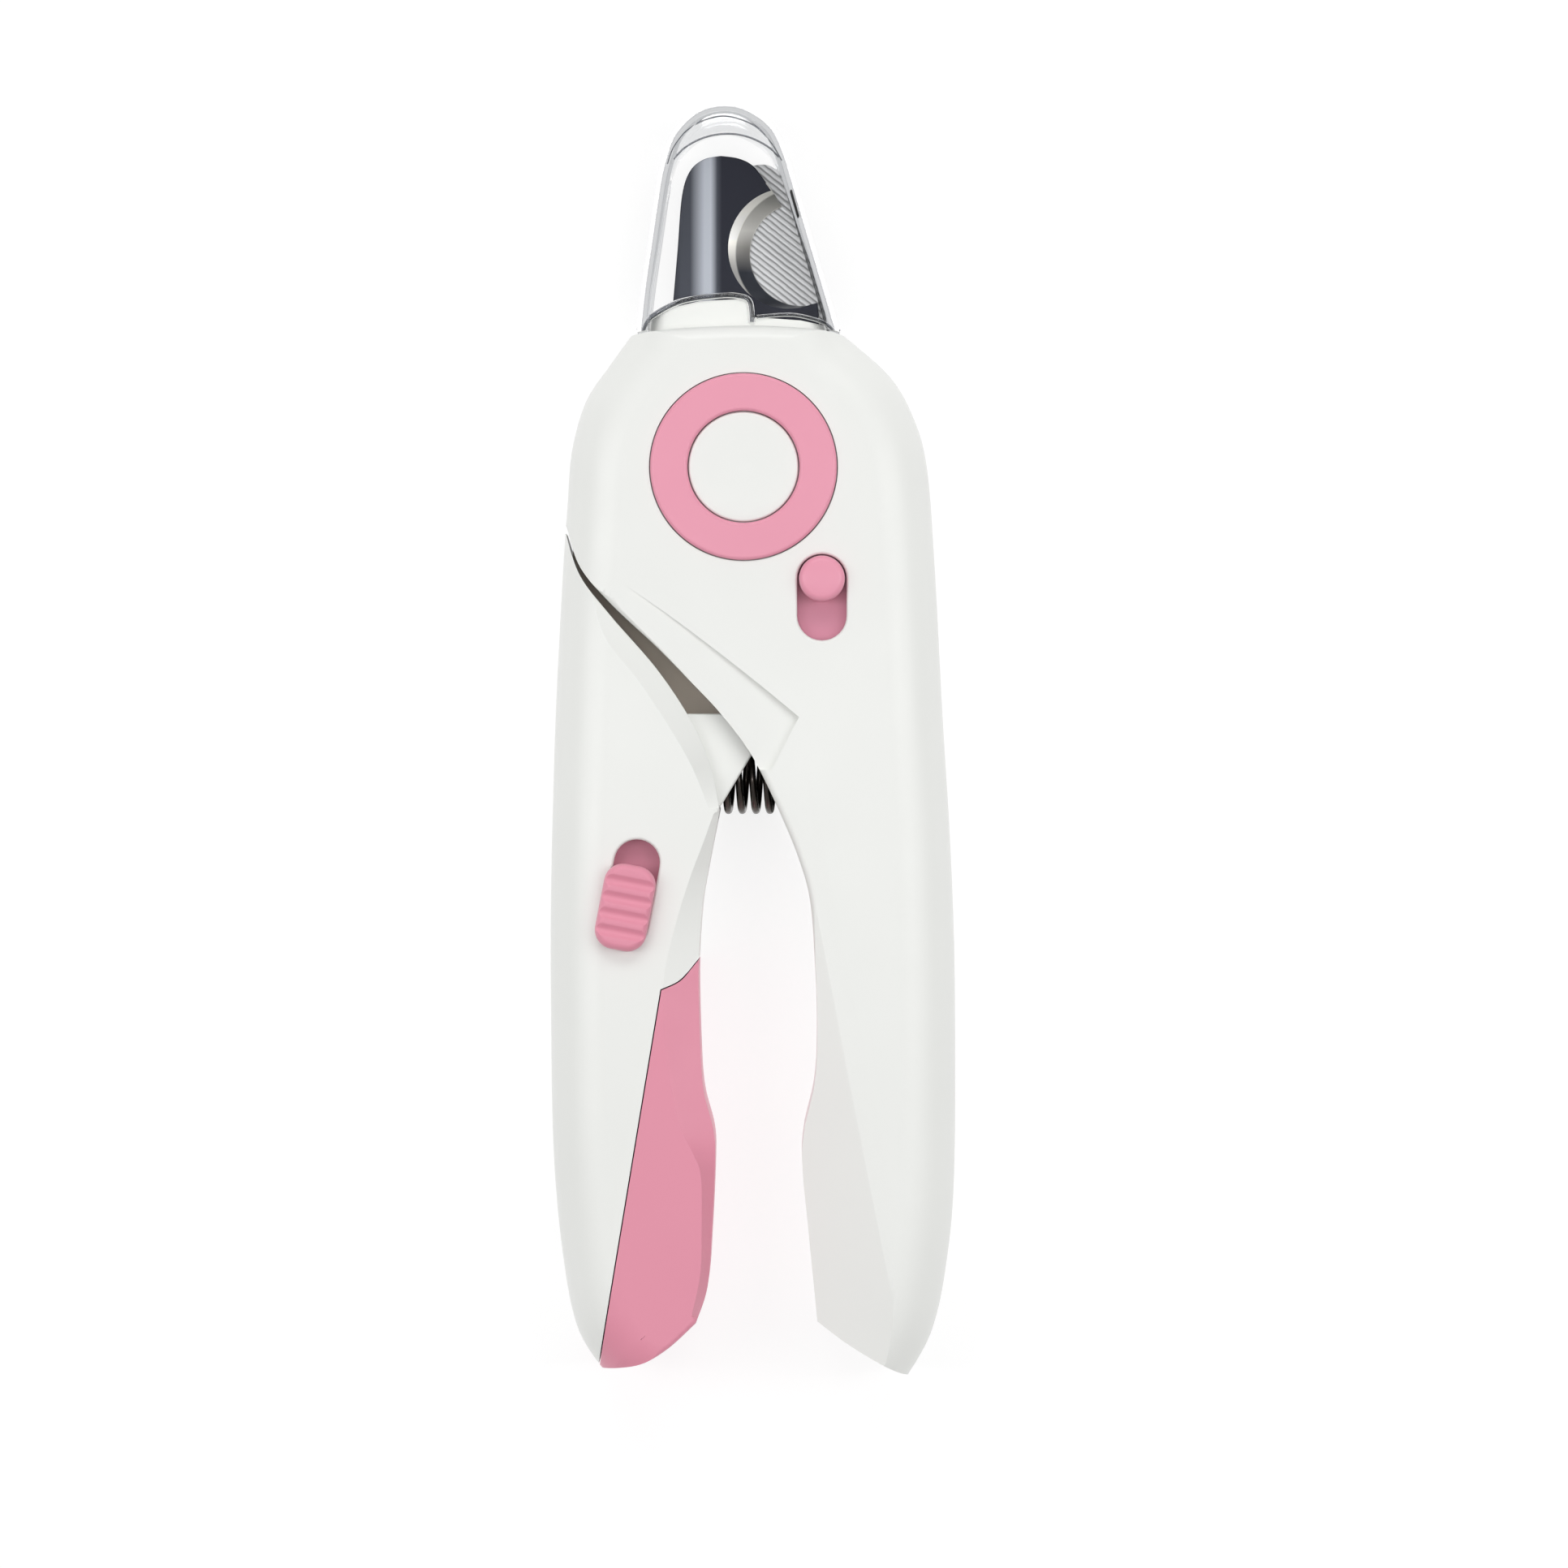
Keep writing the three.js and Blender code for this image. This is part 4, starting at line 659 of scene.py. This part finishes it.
def moving_blade():
    outline = [
        (-9.2, 0), (-8.4, 17), (-8.4, 19.6), (-5, 24), (-2.9, 30.4), (-2.6, 31.9), (-1.5, 33.5),
        (0.4, 34.7), (2.6, 35), (4.2, 33.9), (5.2, 31.5), (6.5, 27.8), (8, 24), (9.8, 18), (10, 12),
        (9.5, 3), (8, -4.6), (3.5, -8.6), (-4.6, -9.5), (-7.6, -22), (-9.2, -31.6), (-15, -31),
        (-11.6, -14), (-9.7, -4),
    ]
    tip = run(outline[5:11], 30)
    outline = outline[:5] + tip + outline[11:]
    top = MOVING_LOW + BLADE_STEEL
    blade = prism(outline, MOVING_LOW, top)
    blade = blade - disc(*MOVING_NOTCH, NOTCH_RADIUS, 0, 30, 128)
    blade = blade - notch_cone(*MOVING_NOTCH, 1, top - 0.3, MOVING_LOW)
    return blade - disc(0, 0, 2.56, 0, FRONT)


# ------------------------------------------------------------- small parts

RING_INNER, RING_OUTER, CAP_RADIUS, TRIM_FOOT = 6.35, 10.6, 6.23, FRONT - 1.15
SPRING_START, SPRING_END, SPRING_Y, SPRING_Z = -5.7, 9.3, -35.5, 10


def softened(inner, outer, low, high, soft, dome=0.0):
    """The turning profile of a disc or ring with rounded upper edges."""
    profile = [(inner, low), (outer, low)]
    for i in range(7):
        a = math.pi / 2 * i / 6
        profile.append((outer - soft * (1 - math.cos(a)), high - soft + soft * math.sin(a)))
    if inner > 0:
        for i in range(7):
            a = math.pi / 2 * (1 - i / 6)
            profile.append((inner + soft * (1 - math.cos(a)), high - soft + soft * math.sin(a)))
        return profile
    for i in range(1, 9):
        t = i / 8
        profile.append(((outer - soft) * (1 - t), high + dome * (1 - (1 - t) ** 2)))
    return profile


def pivot_ring():
    return turned(softened(RING_INNER, RING_OUTER, TRIM_FOOT, FRONT + 0.45, 0.4))


def pivot_cap():
    return turned(softened(0, CAP_RADIUS, TRIM_FOOT, FRONT + 0.05, 0.3, 0.12))


def knob():
    stem = turned(softened(0, 2.6, KNOB_FLOOR - 0.5, FRONT + 1.4, 0.75, 0.1), KNOB_X, KNOB_Y)
    plate = box(5.2, 12.6, -20.6, -4.8, KNOB_FLOOR - 1, KNOB_FLOOR)
    return stem + plate


def slider():
    outline = on_slider(moved(pillow(2.95, 4.9, 2.2), -0.3, 0.05))
    cap = edged(outline, FRONT + 0.2, FRONT + 2.2, 0.8, 1.0, steps=8)
    for i in range(4):
        cap = cap - groove((i - 1.5) * 1.9)
    stem = prism(on_slider(stadium(2.3, -1.5, 1.5)), SLIDER_FLOOR - 0.5, FRONT + 0.7)
    plate = prism(on_slider(stadium(3, -5.3, 5.3)), SLIDER_FLOOR - 1, SLIDER_FLOOR)
    finger = prism(on_slider(stadium(0.7, -0.5, 0.5)), 15.85, SLIDER_FLOOR - 0.5)
    return cap + stem + plate + finger


def groove(offset):
    """A round-bottomed valley across the slider's cap."""
    half, rise = 0.95, 0.22
    profile = []
    for i in range(13):
        s = -half + 2 * half * i / 12
        profile.append((s, FRONT + 1.8 + rise * (1 - math.cos(math.pi * s / half))))
    profile += [(half, FRONT + 6), (-half, FRONT + 6)]
    n = len(profile)
    vertices = []
    for side in (-6, 6):
        for s, z in profile:
            (x, y), = on_slider([(side, offset + s)])
            vertices.append((x, y, z))
    faces = [list(range(n))[::-1], [n + i for i in range(n)]]
    faces += [(i, (i + 1) % n, n + (i + 1) % n, n + i) for i in range(n)]
    return Solid(vertices, faces)


def screw(x, y, low=SCREW_SINK, head=1.22, tip=15.5):
    """A screw with a low domed head and a cross recess, pointing up from the back."""
    top, rim, core = low + head, 1.88, 1
    dome = [(0, low - 0.12), (1.1, low - 0.08), (1.6, low)]
    whole = turned(dome + [(rim, low + 0.2), (rim, top), (core, top), (core, tip), (0, tip)], x, y, 48)
    arm = [(-1.15, -0.24), (1.15, -0.24), (1.15, 0.24), (-1.15, 0.24)]
    first, second = (prism(moved(arm, x, y, a), low - 1, low + 0.55) for a in (0.3, 0.3 + math.pi / 2))
    return whole - (first + second)


def door():
    """The battery door, with three finger grooves and a hole for its screw."""
    plate = edged(door_outline(0), 0, 1.5, 0.25, 0.25, steps=3) & body()
    for i in range(3):
        plate = plate - box(-15.8, -10.8, -44.4 - 1.1 * i, -43.9 - 1.1 * i, -1, 0.35)
    return plate - disc(*DOOR_SCREW, 2.0, -1, 1, 40)


def cover_inside():
    """The cavity's outline: its tip is well below the outer one, so the nose is thick."""
    points = []
    for x, y in inset(cover_outline(), COVER_WALL):
        share = min(1, max(0, (y - 27) / 13.7))
        points.append((x, y - 2.1 * share * share * (3 - 2 * share)))
    return points


def cover():
    """The clear cover. Known fault: its rim steps run from the side to the face, the wrong way for
    rimmed(), so it has no flat front or back face."""
    width, depth = 1.5, 3.0
    steps = [(width * (1 - math.cos(a)), depth * (1 - math.sin(a))) for a in quarter_turn(12)]
    outer = rimmed(counter_clockwise(cover_outline()), COVER_LOW, COVER_HIGH, steps)
    low, high = COVER_LOW + COVER_WALL, COVER_HIGH - COVER_WALL
    hollow = edged(cover_inside(), low, high, 0.3, 0.3, steps=4)
    below = top_arc(0.35) + [(-40, 15.4), (-40, -40), (40, -40), (40, 15.4)]
    shell = (outer - hollow) - prism(below, -10, 40)
    return shell - box(0, 30, 0, 35, MOVING_LOW - 0.3, PARTING + 0.3)


def cover_vent():
    """The small dark mark on the cover's right side, above the slot for the blade: a black piece that
    paints the shade inside a small opening there.
    """
    outline = moved(stadium(0.25, -1.4, 1.4), 6.35, 30.6, 0.27)
    return edged(outline, 11, 12.8, 0.1, 0.1, steps=2)


def directions(path):
    """The unit direction of travel at each point of a path."""
    last = len(path) - 1
    return [(path[min(i + 1, last)] - path[max(i - 1, 0)]).normalized() for i in range(len(path))]


def wire(path, across, radius, around):
    """A round wire along a path, closed at both ends; across gives two unit vectors at each point."""
    vertices, faces = [], []
    for at, (first, second) in zip(path, across):
        for k in range(around):
            a = 2 * math.pi * k / around
            vertices.append(at + (first * math.cos(a) + second * math.sin(a)) * radius)
    end = (len(path) - 1) * around
    for low in range(0, end, around):
        high = low + around
        for k in range(around):
            j = (k + 1) % around
            faces.append((low + k, low + j, high + j, high + k))
    faces.append(list(range(around))[::-1])
    faces.append([end + k for k in range(around)])
    return Solid(vertices, faces)


def bead(points, count, radius):
    """A round bead through plan points just under the cover's front, dropping near its sides. Known
    fault: its faces point inwards, because across is in the wrong order."""
    top = COVER_HIGH - COVER_WALL - 0.15
    path = [Vector((x, y, top - 0.11 * max(0, abs(x + 0.5) - 8) ** 2)) for x, y in run(points, count)]
    across = []
    for ahead in directions(path):
        side = ahead.cross(Vector((0, 0, 1))).normalized()
        across.append((side, side.cross(ahead)))
    return wire(path, across, radius, 12)


def cover_ribs():
    """The cover's inner ribs, which follow the collar's stepped upper edge; their dark tint is a painted
    shade line along that edge.
    """
    left = [
        (-12, 15.9), (-10.4, 17.4), (-7, 19.1), (-2.4, 19.75), (-0.2, 19.6), (0.65, 19.1), (0.9, 18),
        (0.95, 16.7),
    ]
    right = [(1.5, 17.3), (5.2, 17.55), (7.8, 17.1), (9.8, 16.4), (10.9, 15.8)]
    return {"rib_left": bead(left, 70, 0.36), "rib_right": bead(right, 40, 0.24)}


def nose_lines():
    """The two fine lines where the cover's thick nose meets its inside, tinted dark as painted shade
    lines.
    """
    far = [(-8.9, 34.8), (-8.1, 36.8), (-6, 39), (-2.5, 40.2), (0.9, 39.3), (3.1, 37.3), (4.5, 35.2)]
    near = [(-8, 35.3), (-6.6, 36.7), (-4.4, 37.8), (-2, 38.2), (0.3, 37.9), (2.5, 36.9), (4.1, 35.6)]
    return {"nose_far": bead(far, 60, 0.09), "nose_near": bead(near, 60, 0.12)}


def spring():
    """A round wire wound along X."""
    turns, steps, radius = 9.5, 9 * 36, 3.55
    path = []
    for i in range(steps + 1):
        share = i / steps
        a = share * turns * 2 * math.pi
        x = SPRING_START + (SPRING_END - SPRING_START) * share
        path.append(Vector((x, SPRING_Y + radius * math.cos(a), SPRING_Z + radius * math.sin(a))))
    across = []
    for at, ahead in zip(path, directions(path)):
        out = (at - Vector((at.x, SPRING_Y, SPRING_Z))).normalized()
        side = ahead.cross(out).normalized()
        across.append((side.cross(ahead), side))
    return wire(path, across, 0.42, 14)


# --------------------------------------------------------------- materials


class Nodes:
    """A material with a Principled shader, and short calls to add nodes to it."""

    def __init__(self, name, **values):
        self.material = bpy.data.materials.new(name)
        self.material.use_nodes = True
        self.tree = self.material.node_tree
        self.shader = next(n for n in self.tree.nodes if n.type == "BSDF_PRINCIPLED")
        for key, value in values.items():
            self.set(key, value)

    def set(self, key, value):
        self.shader.inputs[key.replace("_", " ")].default_value = value

    def add(self, kind, **inputs):
        node = self.tree.nodes.new(kind)
        for key, value in inputs.items():
            socket = node.inputs[key.replace("_", " ")]
            if isinstance(value, bpy.types.NodeSocket):
                self.tree.links.new(value, socket)
            else:
                socket.default_value = value
        return node

    def link(self, output, key):
        self.tree.links.new(output, self.shader.inputs[key.replace("_", " ")])

    def place(self, scale=(1, 1, 1), angle=0.0):
        where = self.add("ShaderNodeTexCoord").outputs["Object"]
        mapping = self.add("ShaderNodeMapping", Vector=where, Scale=scale, Rotation=(0, 0, angle))
        return mapping.outputs["Vector"]

    def noise(self, scale, detail=3.0, rough=0.5, where=None):
        where = where or self.place()
        node = self.add("ShaderNodeTexNoise", Vector=where, Scale=scale, Detail=detail, Roughness=rough)
        return node.outputs["Fac"]

    def share(self, value, low, high):
        """0 to 1 as a value runs from low to high."""
        node = self.add("ShaderNodeMapRange", Value=value, From_Min=low, From_Max=high)
        return node.outputs["Result"]

    def combined(self, kind, operation, first, second):
        node = self.add(kind)
        node.operation = operation
        self.tree.links.new(first, node.inputs[0])
        self.tree.links.new(second, node.inputs[1])
        return node.outputs[0]

    def ramp(self, value, stops):
        node = self.add("ShaderNodeValToRGB", Fac=value)
        ramp = node.color_ramp
        while len(ramp.elements) < len(stops):
            ramp.elements.new(0.5)
        for element, (at, colour) in zip(ramp.elements, stops):
            element.position = at
            element.color = (*colour, 1) if len(colour) == 3 else colour
        return node.outputs["Color"]

    def bump(self, height, strength, distance):
        node = self.add("ShaderNodeBump", Height=height, Strength=strength, Distance=distance)
        self.link(node.outputs["Normal"], "Normal")
        return node


def spread(colour, amount):
    """Two neighbours of a colour, a little darker and a little lighter."""
    low = tuple(c * (1 - amount) for c in colour)
    high = tuple(min(1, c * (1 + amount)) for c in colour)
    return [(0.3, low), (0.7, high)]


def moulded(name, colour, roughness, texture=0.06, coat=0.0, sheen=0.0):
    """Moulded plastic: a fine spark-eroded texture, slow colour drift and faint handling marks."""
    m = Nodes(name, Roughness=roughness, IOR=1.5)
    m.link(m.ramp(m.noise(45, 2), spread(colour, 0.012)), "Base Color")
    rough = m.ramp(m.noise(160, 4), [(0.35, (roughness * 0.92,) * 3), (0.7, (roughness * 1.12,) * 3)])
    m.link(rough, "Roughness")
    m.bump(m.noise(5200, 2, 0.6), texture, 0.00002)
    if coat:
        m.set("Coat_Weight", coat)
        m.set("Coat_Roughness", 0.12)
    if sheen:
        m.set("Sheen_Weight", sheen)
        m.set("Sheen_Roughness", 0.5)
    return m


def ground_steel(name, colour, angle, pitch, strength, roughness):
    """Steel with ground lines at an angle to X, about pitch metres apart."""
    m = Nodes(name, Metallic=0.6, Roughness=roughness)
    where = m.place(angle=angle)
    bands = m.add("ShaderNodeTexWave", Vector=where, Scale=0.314 / pitch, Distortion=0.8, Detail=2.0)
    bands.bands_direction = "Y"
    bands.inputs["Detail Scale"].default_value = 2.0
    stretched = m.add("ShaderNodeMapping", Vector=where, Scale=(25, 3000, 1)).outputs["Vector"]
    fine = m.noise(1.0, 3, 0.6, stretched)
    lines = m.combined("ShaderNodeMath", "MULTIPLY", bands.outputs["Fac"], fine)
    dark, light = tuple(c * 0.5 for c in colour), tuple(min(1, c * 1.3) for c in colour)
    m.link(m.ramp(lines, [(0.03, dark), (0.16, colour), (0.5, light)]), "Base Color")
    m.bump(lines, strength, 0.00004)
    return m


def notch_steel(name, x, y):
    """A ground hollow bevel round (x, y) with painted light: a painted highlight along its rims, and
    painted shade that makes it darker towards its foot.
    """
    m = Nodes(name, Metallic=0.55, Roughness=0.28)
    where = m.add("ShaderNodeTexCoord").outputs["Object"]
    placed = m.add("ShaderNodeMapping", Vector=where, Location=(-x * MM, -y * MM, 0), Scale=(1, 1, 0))
    centred = placed.outputs["Vector"]
    reach = m.add("ShaderNodeVectorMath", Vector=centred)
    reach.operation = "LENGTH"
    outwards = m.share(reach.outputs["Value"], 0.0056, 0.0084)
    bright, none = (0.5, 0.49, 0.46), (0.0, 0.0, 0.0)
    # Painted highlight along the bevel's two rims.
    rims = m.ramp(outwards, [(0.08, bright), (0.14, none), (0.66, none), (0.72, bright)])
    upwards = m.share(m.add("ShaderNodeSeparateXYZ", Vector=centred).outputs["Y"], -0.0075, 0.0075)
    # Painted shade and light across Y: dark towards the foot, brightest a little above the middle.
    slope = m.ramp(upwards, [
        (0.1, (0.03, 0.034, 0.045)), (0.36, (0.05, 0.055, 0.07)), (0.55, (0.36, 0.35, 0.33)),
        (0.68, (0.78, 0.77, 0.73)), (0.8, (0.55, 0.54, 0.51)), (0.95, (0.22, 0.22, 0.21)),
    ])
    m.link(m.combined("ShaderNodeVectorMath", "ADD", rims, slope), "Base Color")
    m.bump(m.noise(1.0, 3, 0.5, m.place(scale=(2400, 60, 1))), 0.08, 0.00002)
    return m


def plain_metal(name, colour, roughness):
    m = Nodes(name, Metallic=1.0, Roughness=roughness)
    m.link(m.ramp(m.noise(900, 3), spread(colour, 0.08)), "Base Color")
    m.bump(m.noise(2600, 2), 0.1, 0.00002)
    return m


WHITE = moulded("white_plastic", (0.852, 0.86, 0.834), 0.38, coat=0.05)
PINK = moulded("pink_plastic", (0.82, 0.325, 0.435), 0.36, texture=0.1)
GRIP = moulded("pink_grip", (0.775, 0.285, 0.385), 0.42, texture=0.22, sheen=0.1)
BLACK = moulded("black_plastic", (0.02, 0.02, 0.022), 0.45, texture=0.2)
BOARD = moulded("green_board", (0.03, 0.16, 0.07), 0.4)
STEEL = plain_metal("zinc_steel", (0.62, 0.63, 0.64), 0.32)
BRASS = plain_metal("brass_strip", (0.72, 0.53, 0.24), 0.3)
CELL = plain_metal("cell_case", (0.66, 0.66, 0.65), 0.24)
SPRING = plain_metal("spring_steel", (0.085, 0.075, 0.068), 0.22)
SILVER = ground_steel(
    "ground_steel", (0.5, 0.505, 0.515), math.radians(38), pitch=0.00058, strength=0.45, roughness=0.36
)
FRONT_BEVEL = notch_steel("ground_bevel_front", *FIXED_NOTCH)
BACK_BEVEL = notch_steel("ground_bevel_back", *MOVING_NOTCH)
# Painted shade: a warm grey for the lip seen at the bottom of the gap between housing and lever.
GAP_SHADE = moulded("shaded_plastic", (0.8, 0.7, 0.61), 0.5)
# Painted shade: darker pinks for the plates seen down in the knob's slot and, darker still, in the
# slider's slot.
KNOB_SLOT_SHADE = moulded("pink_painted_shade_knob_slot", (0.66, 0.26, 0.36), 0.4)
SLIDER_SLOT_SHADE = moulded("pink_painted_shade_slider_slot", (0.56, 0.205, 0.285), 0.4)


def dark_coating_and_painted_reflection():
    """Polished dark coating with a painted reflection: a long soft pale streak along the blade, painted
    into the base colour across X. The fine polishing lines are a bump.
    """
    m = Nodes("dark_coating_and_painted_reflection", Metallic=0.35, Roughness=0.2)
    where = m.add("ShaderNodeTexCoord").outputs["Object"]
    across = m.share(m.add("ShaderNodeSeparateXYZ", Vector=where).outputs["X"], -0.009, 0.009)
    night, slate, pale = (0.012, 0.014, 0.026), (0.06, 0.066, 0.085), (0.5, 0.53, 0.59)
    # night is the coating's own colour; the slate and pale band across X is a painted reflection streak.
    stops = [
        (0.03, night), (0.1, slate), (0.16, slate), (0.25, pale), (0.29, pale), (0.33, slate),
        (0.36, night), (0.9, night),
    ]
    m.link(m.ramp(across, stops), "Base Color")
    lines = m.noise(1.0, 3, 0.5, m.place(scale=(2600, 30, 1)))
    m.bump(lines, 0.05, 0.00002)
    return m


def clear_plastic(name, tint, rim, roughness, absorb=0.0, ior=1.46):
    """Clear acrylic, darker where it is seen edge on and where light runs a long way inside it."""
    m = Nodes(name, Roughness=roughness, IOR=ior)
    m.set("Transmission_Weight", 1.0)
    m.set("Coat_Weight", 0.7)
    m.set("Coat_Roughness", 0.04)
    facing = m.add("ShaderNodeLayerWeight", Blend=0.5).outputs["Facing"]
    m.link(m.ramp(facing, [(0.25, tint), (0.6, tuple(c * 0.93 for c in tint)), (0.9, rim)]), "Base Color")
    m.bump(m.noise(60, 2), 0.02, 0.0001)
    thickness = m.add("ShaderNodeVolumeAbsorption", Color=(0.4, 0.43, 0.48, 1), Density=absorb)
    output = next(n for n in m.tree.nodes if n.type == "OUTPUT_MATERIAL")
    m.tree.links.new(thickness.outputs["Volume"], output.inputs["Volume"])
    return m


DARK = dark_coating_and_painted_reflection()
CLEAR = clear_plastic(
    "clear_plastic", (0.86, 0.866, 0.873), (0.5, 0.51, 0.54), 0.02, absorb=12.0, ior=1.15
)
# Dark clear plastic that paints shade lines: the ribs and nose lines stand for dark edges seen through
# the cover.
SHADE_LINE = clear_plastic("dark_clear_shade_line", (0.24, 0.25, 0.28), (0.1, 0.1, 0.12), 0.06)
LENS = clear_plastic("lamp_lens", (0.97, 0.98, 1.0), (0.8, 0.82, 0.85), 0.05)


# ------------------------------------------------------------------ pieces


def smooth(mesh, angle):
    """Smooth shading, with sharp edges where faces meet at more than an angle."""
    mesh.polygons.foreach_set("use_smooth", [True] * len(mesh.polygons))
    mesh.set_sharp_from_angle(angle=math.radians(angle))


def piece(name, shape, look, rides, slot, *stands_for, angle=32):
    mesh = shape.mesh
    mesh.transform(Matrix.Scale(MM, 4))
    mesh.name = name
    mesh.materials.clear()
    mesh.materials.append(look.material)
    made = bpy.data.objects.new(name, mesh)
    bpy.context.scene.collection.objects.link(made)
    smooth(mesh, angle)
    made.modifiers.new("normals", "WEIGHTED_NORMAL").keep_sharp = True
    if rides:
        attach(made, rides)
    if stands_for:
        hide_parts(*stands_for)
    return made


def paint_level(made, z, look):
    """Gives the flat faces at one height their own material."""
    made.data.materials.append(look.material)
    for face in made.data.polygons:
        if abs(face.center.z / MM - z) < 0.02 and face.normal.z > 0.99:
            face.material_index = 1


def paint_notch(made, x, y, look):
    """Gives a notch's slanted bevel and its upright wall their own material."""
    made.data.materials.append(look.material)
    for face in made.data.polygons:
        reach = math.hypot(face.center.x / MM - x, face.center.y / MM - y)
        level = abs(face.normal.z)
        slanted = 0.15 < level < 0.97 and reach < NOTCH_RADIUS + 3.3
        upright = level < 0.15 and reach < NOTCH_RADIUS + 0.4
        if slanted or upright:
            face.material_index = 1


piece("white_housing_front", housing(True), WHITE, "body", "white_shell", "housing_front")
piece("white_housing_back", housing(False), WHITE, "body", "white_shell", "housing_back")
lever_front = piece(
    "white_lever_front", lever(True), WHITE, "lever", "white_shell", "lever_front", angle=12
)
piece("white_lever_back", lever(False), WHITE, "lever", "white_shell", "lever_back")
# The lip's top face is painted with the gap's shade.
paint_level(lever_front, LIP_TOP, GAP_SHADE)
piece("pink_grip", grip(), GRIP, "lever", "grip_rubber", "grip_insert", angle=12)

front_blade = piece(
    "dark_front_blade", fixed_blade(), DARK, "body", "dark_blade", "fixed_blade", angle=20
)
paint_notch(front_blade, *FIXED_NOTCH, FRONT_BEVEL)
back_blade = piece(
    "silver_back_blade", moving_blade(), SILVER, "lever", "ground_steel", "moving_blade", angle=20
)
paint_notch(back_blade, *MOVING_NOTCH, BACK_BEVEL)

piece("pink_pivot_ring", pivot_ring(), PINK, "body", "pink_trim", "pivot_ring")
piece("white_pivot_cap", pivot_cap(), WHITE, "body", "white_shell", "pivot_cap")
lock_knob = piece("pink_lock_knob", knob(), PINK, "lock", "pink_trim", "lock_knob")
light_slider = piece("pink_light_slider", slider(), GRIP, "light_switch", "pink_trim", "light_slider")
# The plates under the two slots are painted with shade.
paint_level(lock_knob, KNOB_FLOOR, KNOB_SLOT_SHADE)
paint_level(light_slider, SLIDER_FLOOR, SLIDER_SLOT_SHADE)
piece("white_battery_door", door(), WHITE, "lever", "white_shell", "battery_door")

piece("clear_blade_cover", cover(), CLEAR, "cover", "clear_cover", "blade_cover")
# The ribs and nose lines are painted shade lines.
for tag, line in {**cover_ribs(), **nose_lines()}.items():
    piece(f"clear_cover_{tag}", line, SHADE_LINE, "cover", "clear_cover", angle=60)
# A black piece painted in as the shade of a small opening in the cover.
piece("cover_vent_painted_shade", cover_vent(), BLACK, "cover", "black_parts", angle=60)

coil = piece("steel_return_spring", spring(), SPRING, None, "spring_steel", "return_spring", angle=60)
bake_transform(coil)

for i, (x, y) in enumerate(HOUSING_SCREWS, 1):
    piece(f"screw_housing_{i}", screw(x, y), STEEL, "body", "fasteners", f"housing_screw_{i}")
for i, (x, y) in enumerate(LEVER_SCREWS, 1):
    piece(f"screw_lever_{i}", screw(x, y), STEEL, "lever", "fasteners", f"lever_screw_{i}")
door_screw = screw(*DOOR_SCREW, low=0.27, head=0.65, tip=5.2)
piece("screw_battery_door", door_screw, STEEL, "lever", "fasteners", "battery_door_screw")

KEPT = {
    "pivot_pin": STEEL, "pivot_washer": STEEL, "pivot_nut": STEEL, "lock_bolt": STEEL,
    "blade_rivet_1": STEEL, "blade_rivet_2": STEEL, "switch_body": BLACK, "circuit_board": BOARD,
    "coin_cell_lower": CELL, "coin_cell_upper": CELL, "battery_contact": BRASS, "led": LENS,
}
for node, look in KEPT.items():
    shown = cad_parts[node].data
    shown.materials.clear()
    shown.materials.append(look.material)
    smooth(shown, 35)


# ------------------------------------------------------------------- stage


def floor():
    """A pale matt floor that glows a little, as a light table does."""
    half, below = 3.0, 0.00005
    mesh = bpy.data.meshes.new("floor")
    corners = [(-half, -half, 0), (half, -half, 0), (half, half, 0), (-half, half, 0)]
    mesh.from_pydata(corners, [], [(0, 1, 2, 3)])
    made = bpy.data.objects.new("floor", mesh)
    look = Nodes("floor_white", Roughness=0.95)
    look.set("Base_Color", (0.25, 0.25, 0.25, 1))
    look.set("Emission_Color", (1, 1, 1, 1))
    look.set("Emission_Strength", 0.79)
    mesh.materials.append(look.material)
    bpy.context.scene.collection.objects.link(made)
    made.location.z = -below


def area(name, place, size, power):
    """A soft rectangular light aimed at the middle of the tool."""
    aim = Vector((0, -0.03, 0))
    light = bpy.data.lights.new(name, "AREA")
    light.shape = "RECTANGLE"
    light.size, light.size_y = size
    light.energy = power
    made = bpy.data.objects.new(name, light)
    bpy.context.scene.collection.objects.link(made)
    made.location = place
    made.rotation_mode = "QUATERNION"
    made.rotation_quaternion = (aim - Vector(place)).to_track_quat("-Z", "Y")


def studio():
    """A box light beyond the blades, and a box and a narrow strip on each side."""
    area("top_box", (0, 0.6, 0.66), (0.8, 0.3), 2.25)
    area("left_box", (-0.52, 0.02, 0.66), (0.25, 0.6), 1.32)
    area("right_box", (0.52, 0.05, 0.66), (0.25, 0.6), 1.32)
    area("left_strip", (-0.27, -0.03, 0.92), (0.05, 0.8), 0.68)
    area("right_strip", (0.29, -0.03, 0.92), (0.05, 0.8), 0.68)
    world = bpy.data.worlds.new("studio")
    bpy.context.scene.world = world
    world.use_nodes = True
    background = next(n for n in world.node_tree.nodes if n.type == "BACKGROUND")
    background.inputs["Color"].default_value = (1, 1, 1, 1)
    background.inputs["Strength"].default_value = 0.4
    bpy.context.scene.view_settings.view_transform = "Standard"


def camera():
    """Straight above the front face; the view is one span wide at the level of the blades."""
    distance, level, span, sensor = 0.95, 0.012, 0.1795, 36
    data = bpy.data.cameras.new("camera")
    data.sensor_width = sensor
    data.lens = sensor * (distance - level) / span
    data.clip_start, data.clip_end = 0.01, 10
    made = bpy.data.objects.new("camera", data)
    bpy.context.scene.collection.objects.link(made)
    made.location = (0.0046, -0.036, distance)
    bpy.context.scene.camera = made


floor()
studio()
camera()
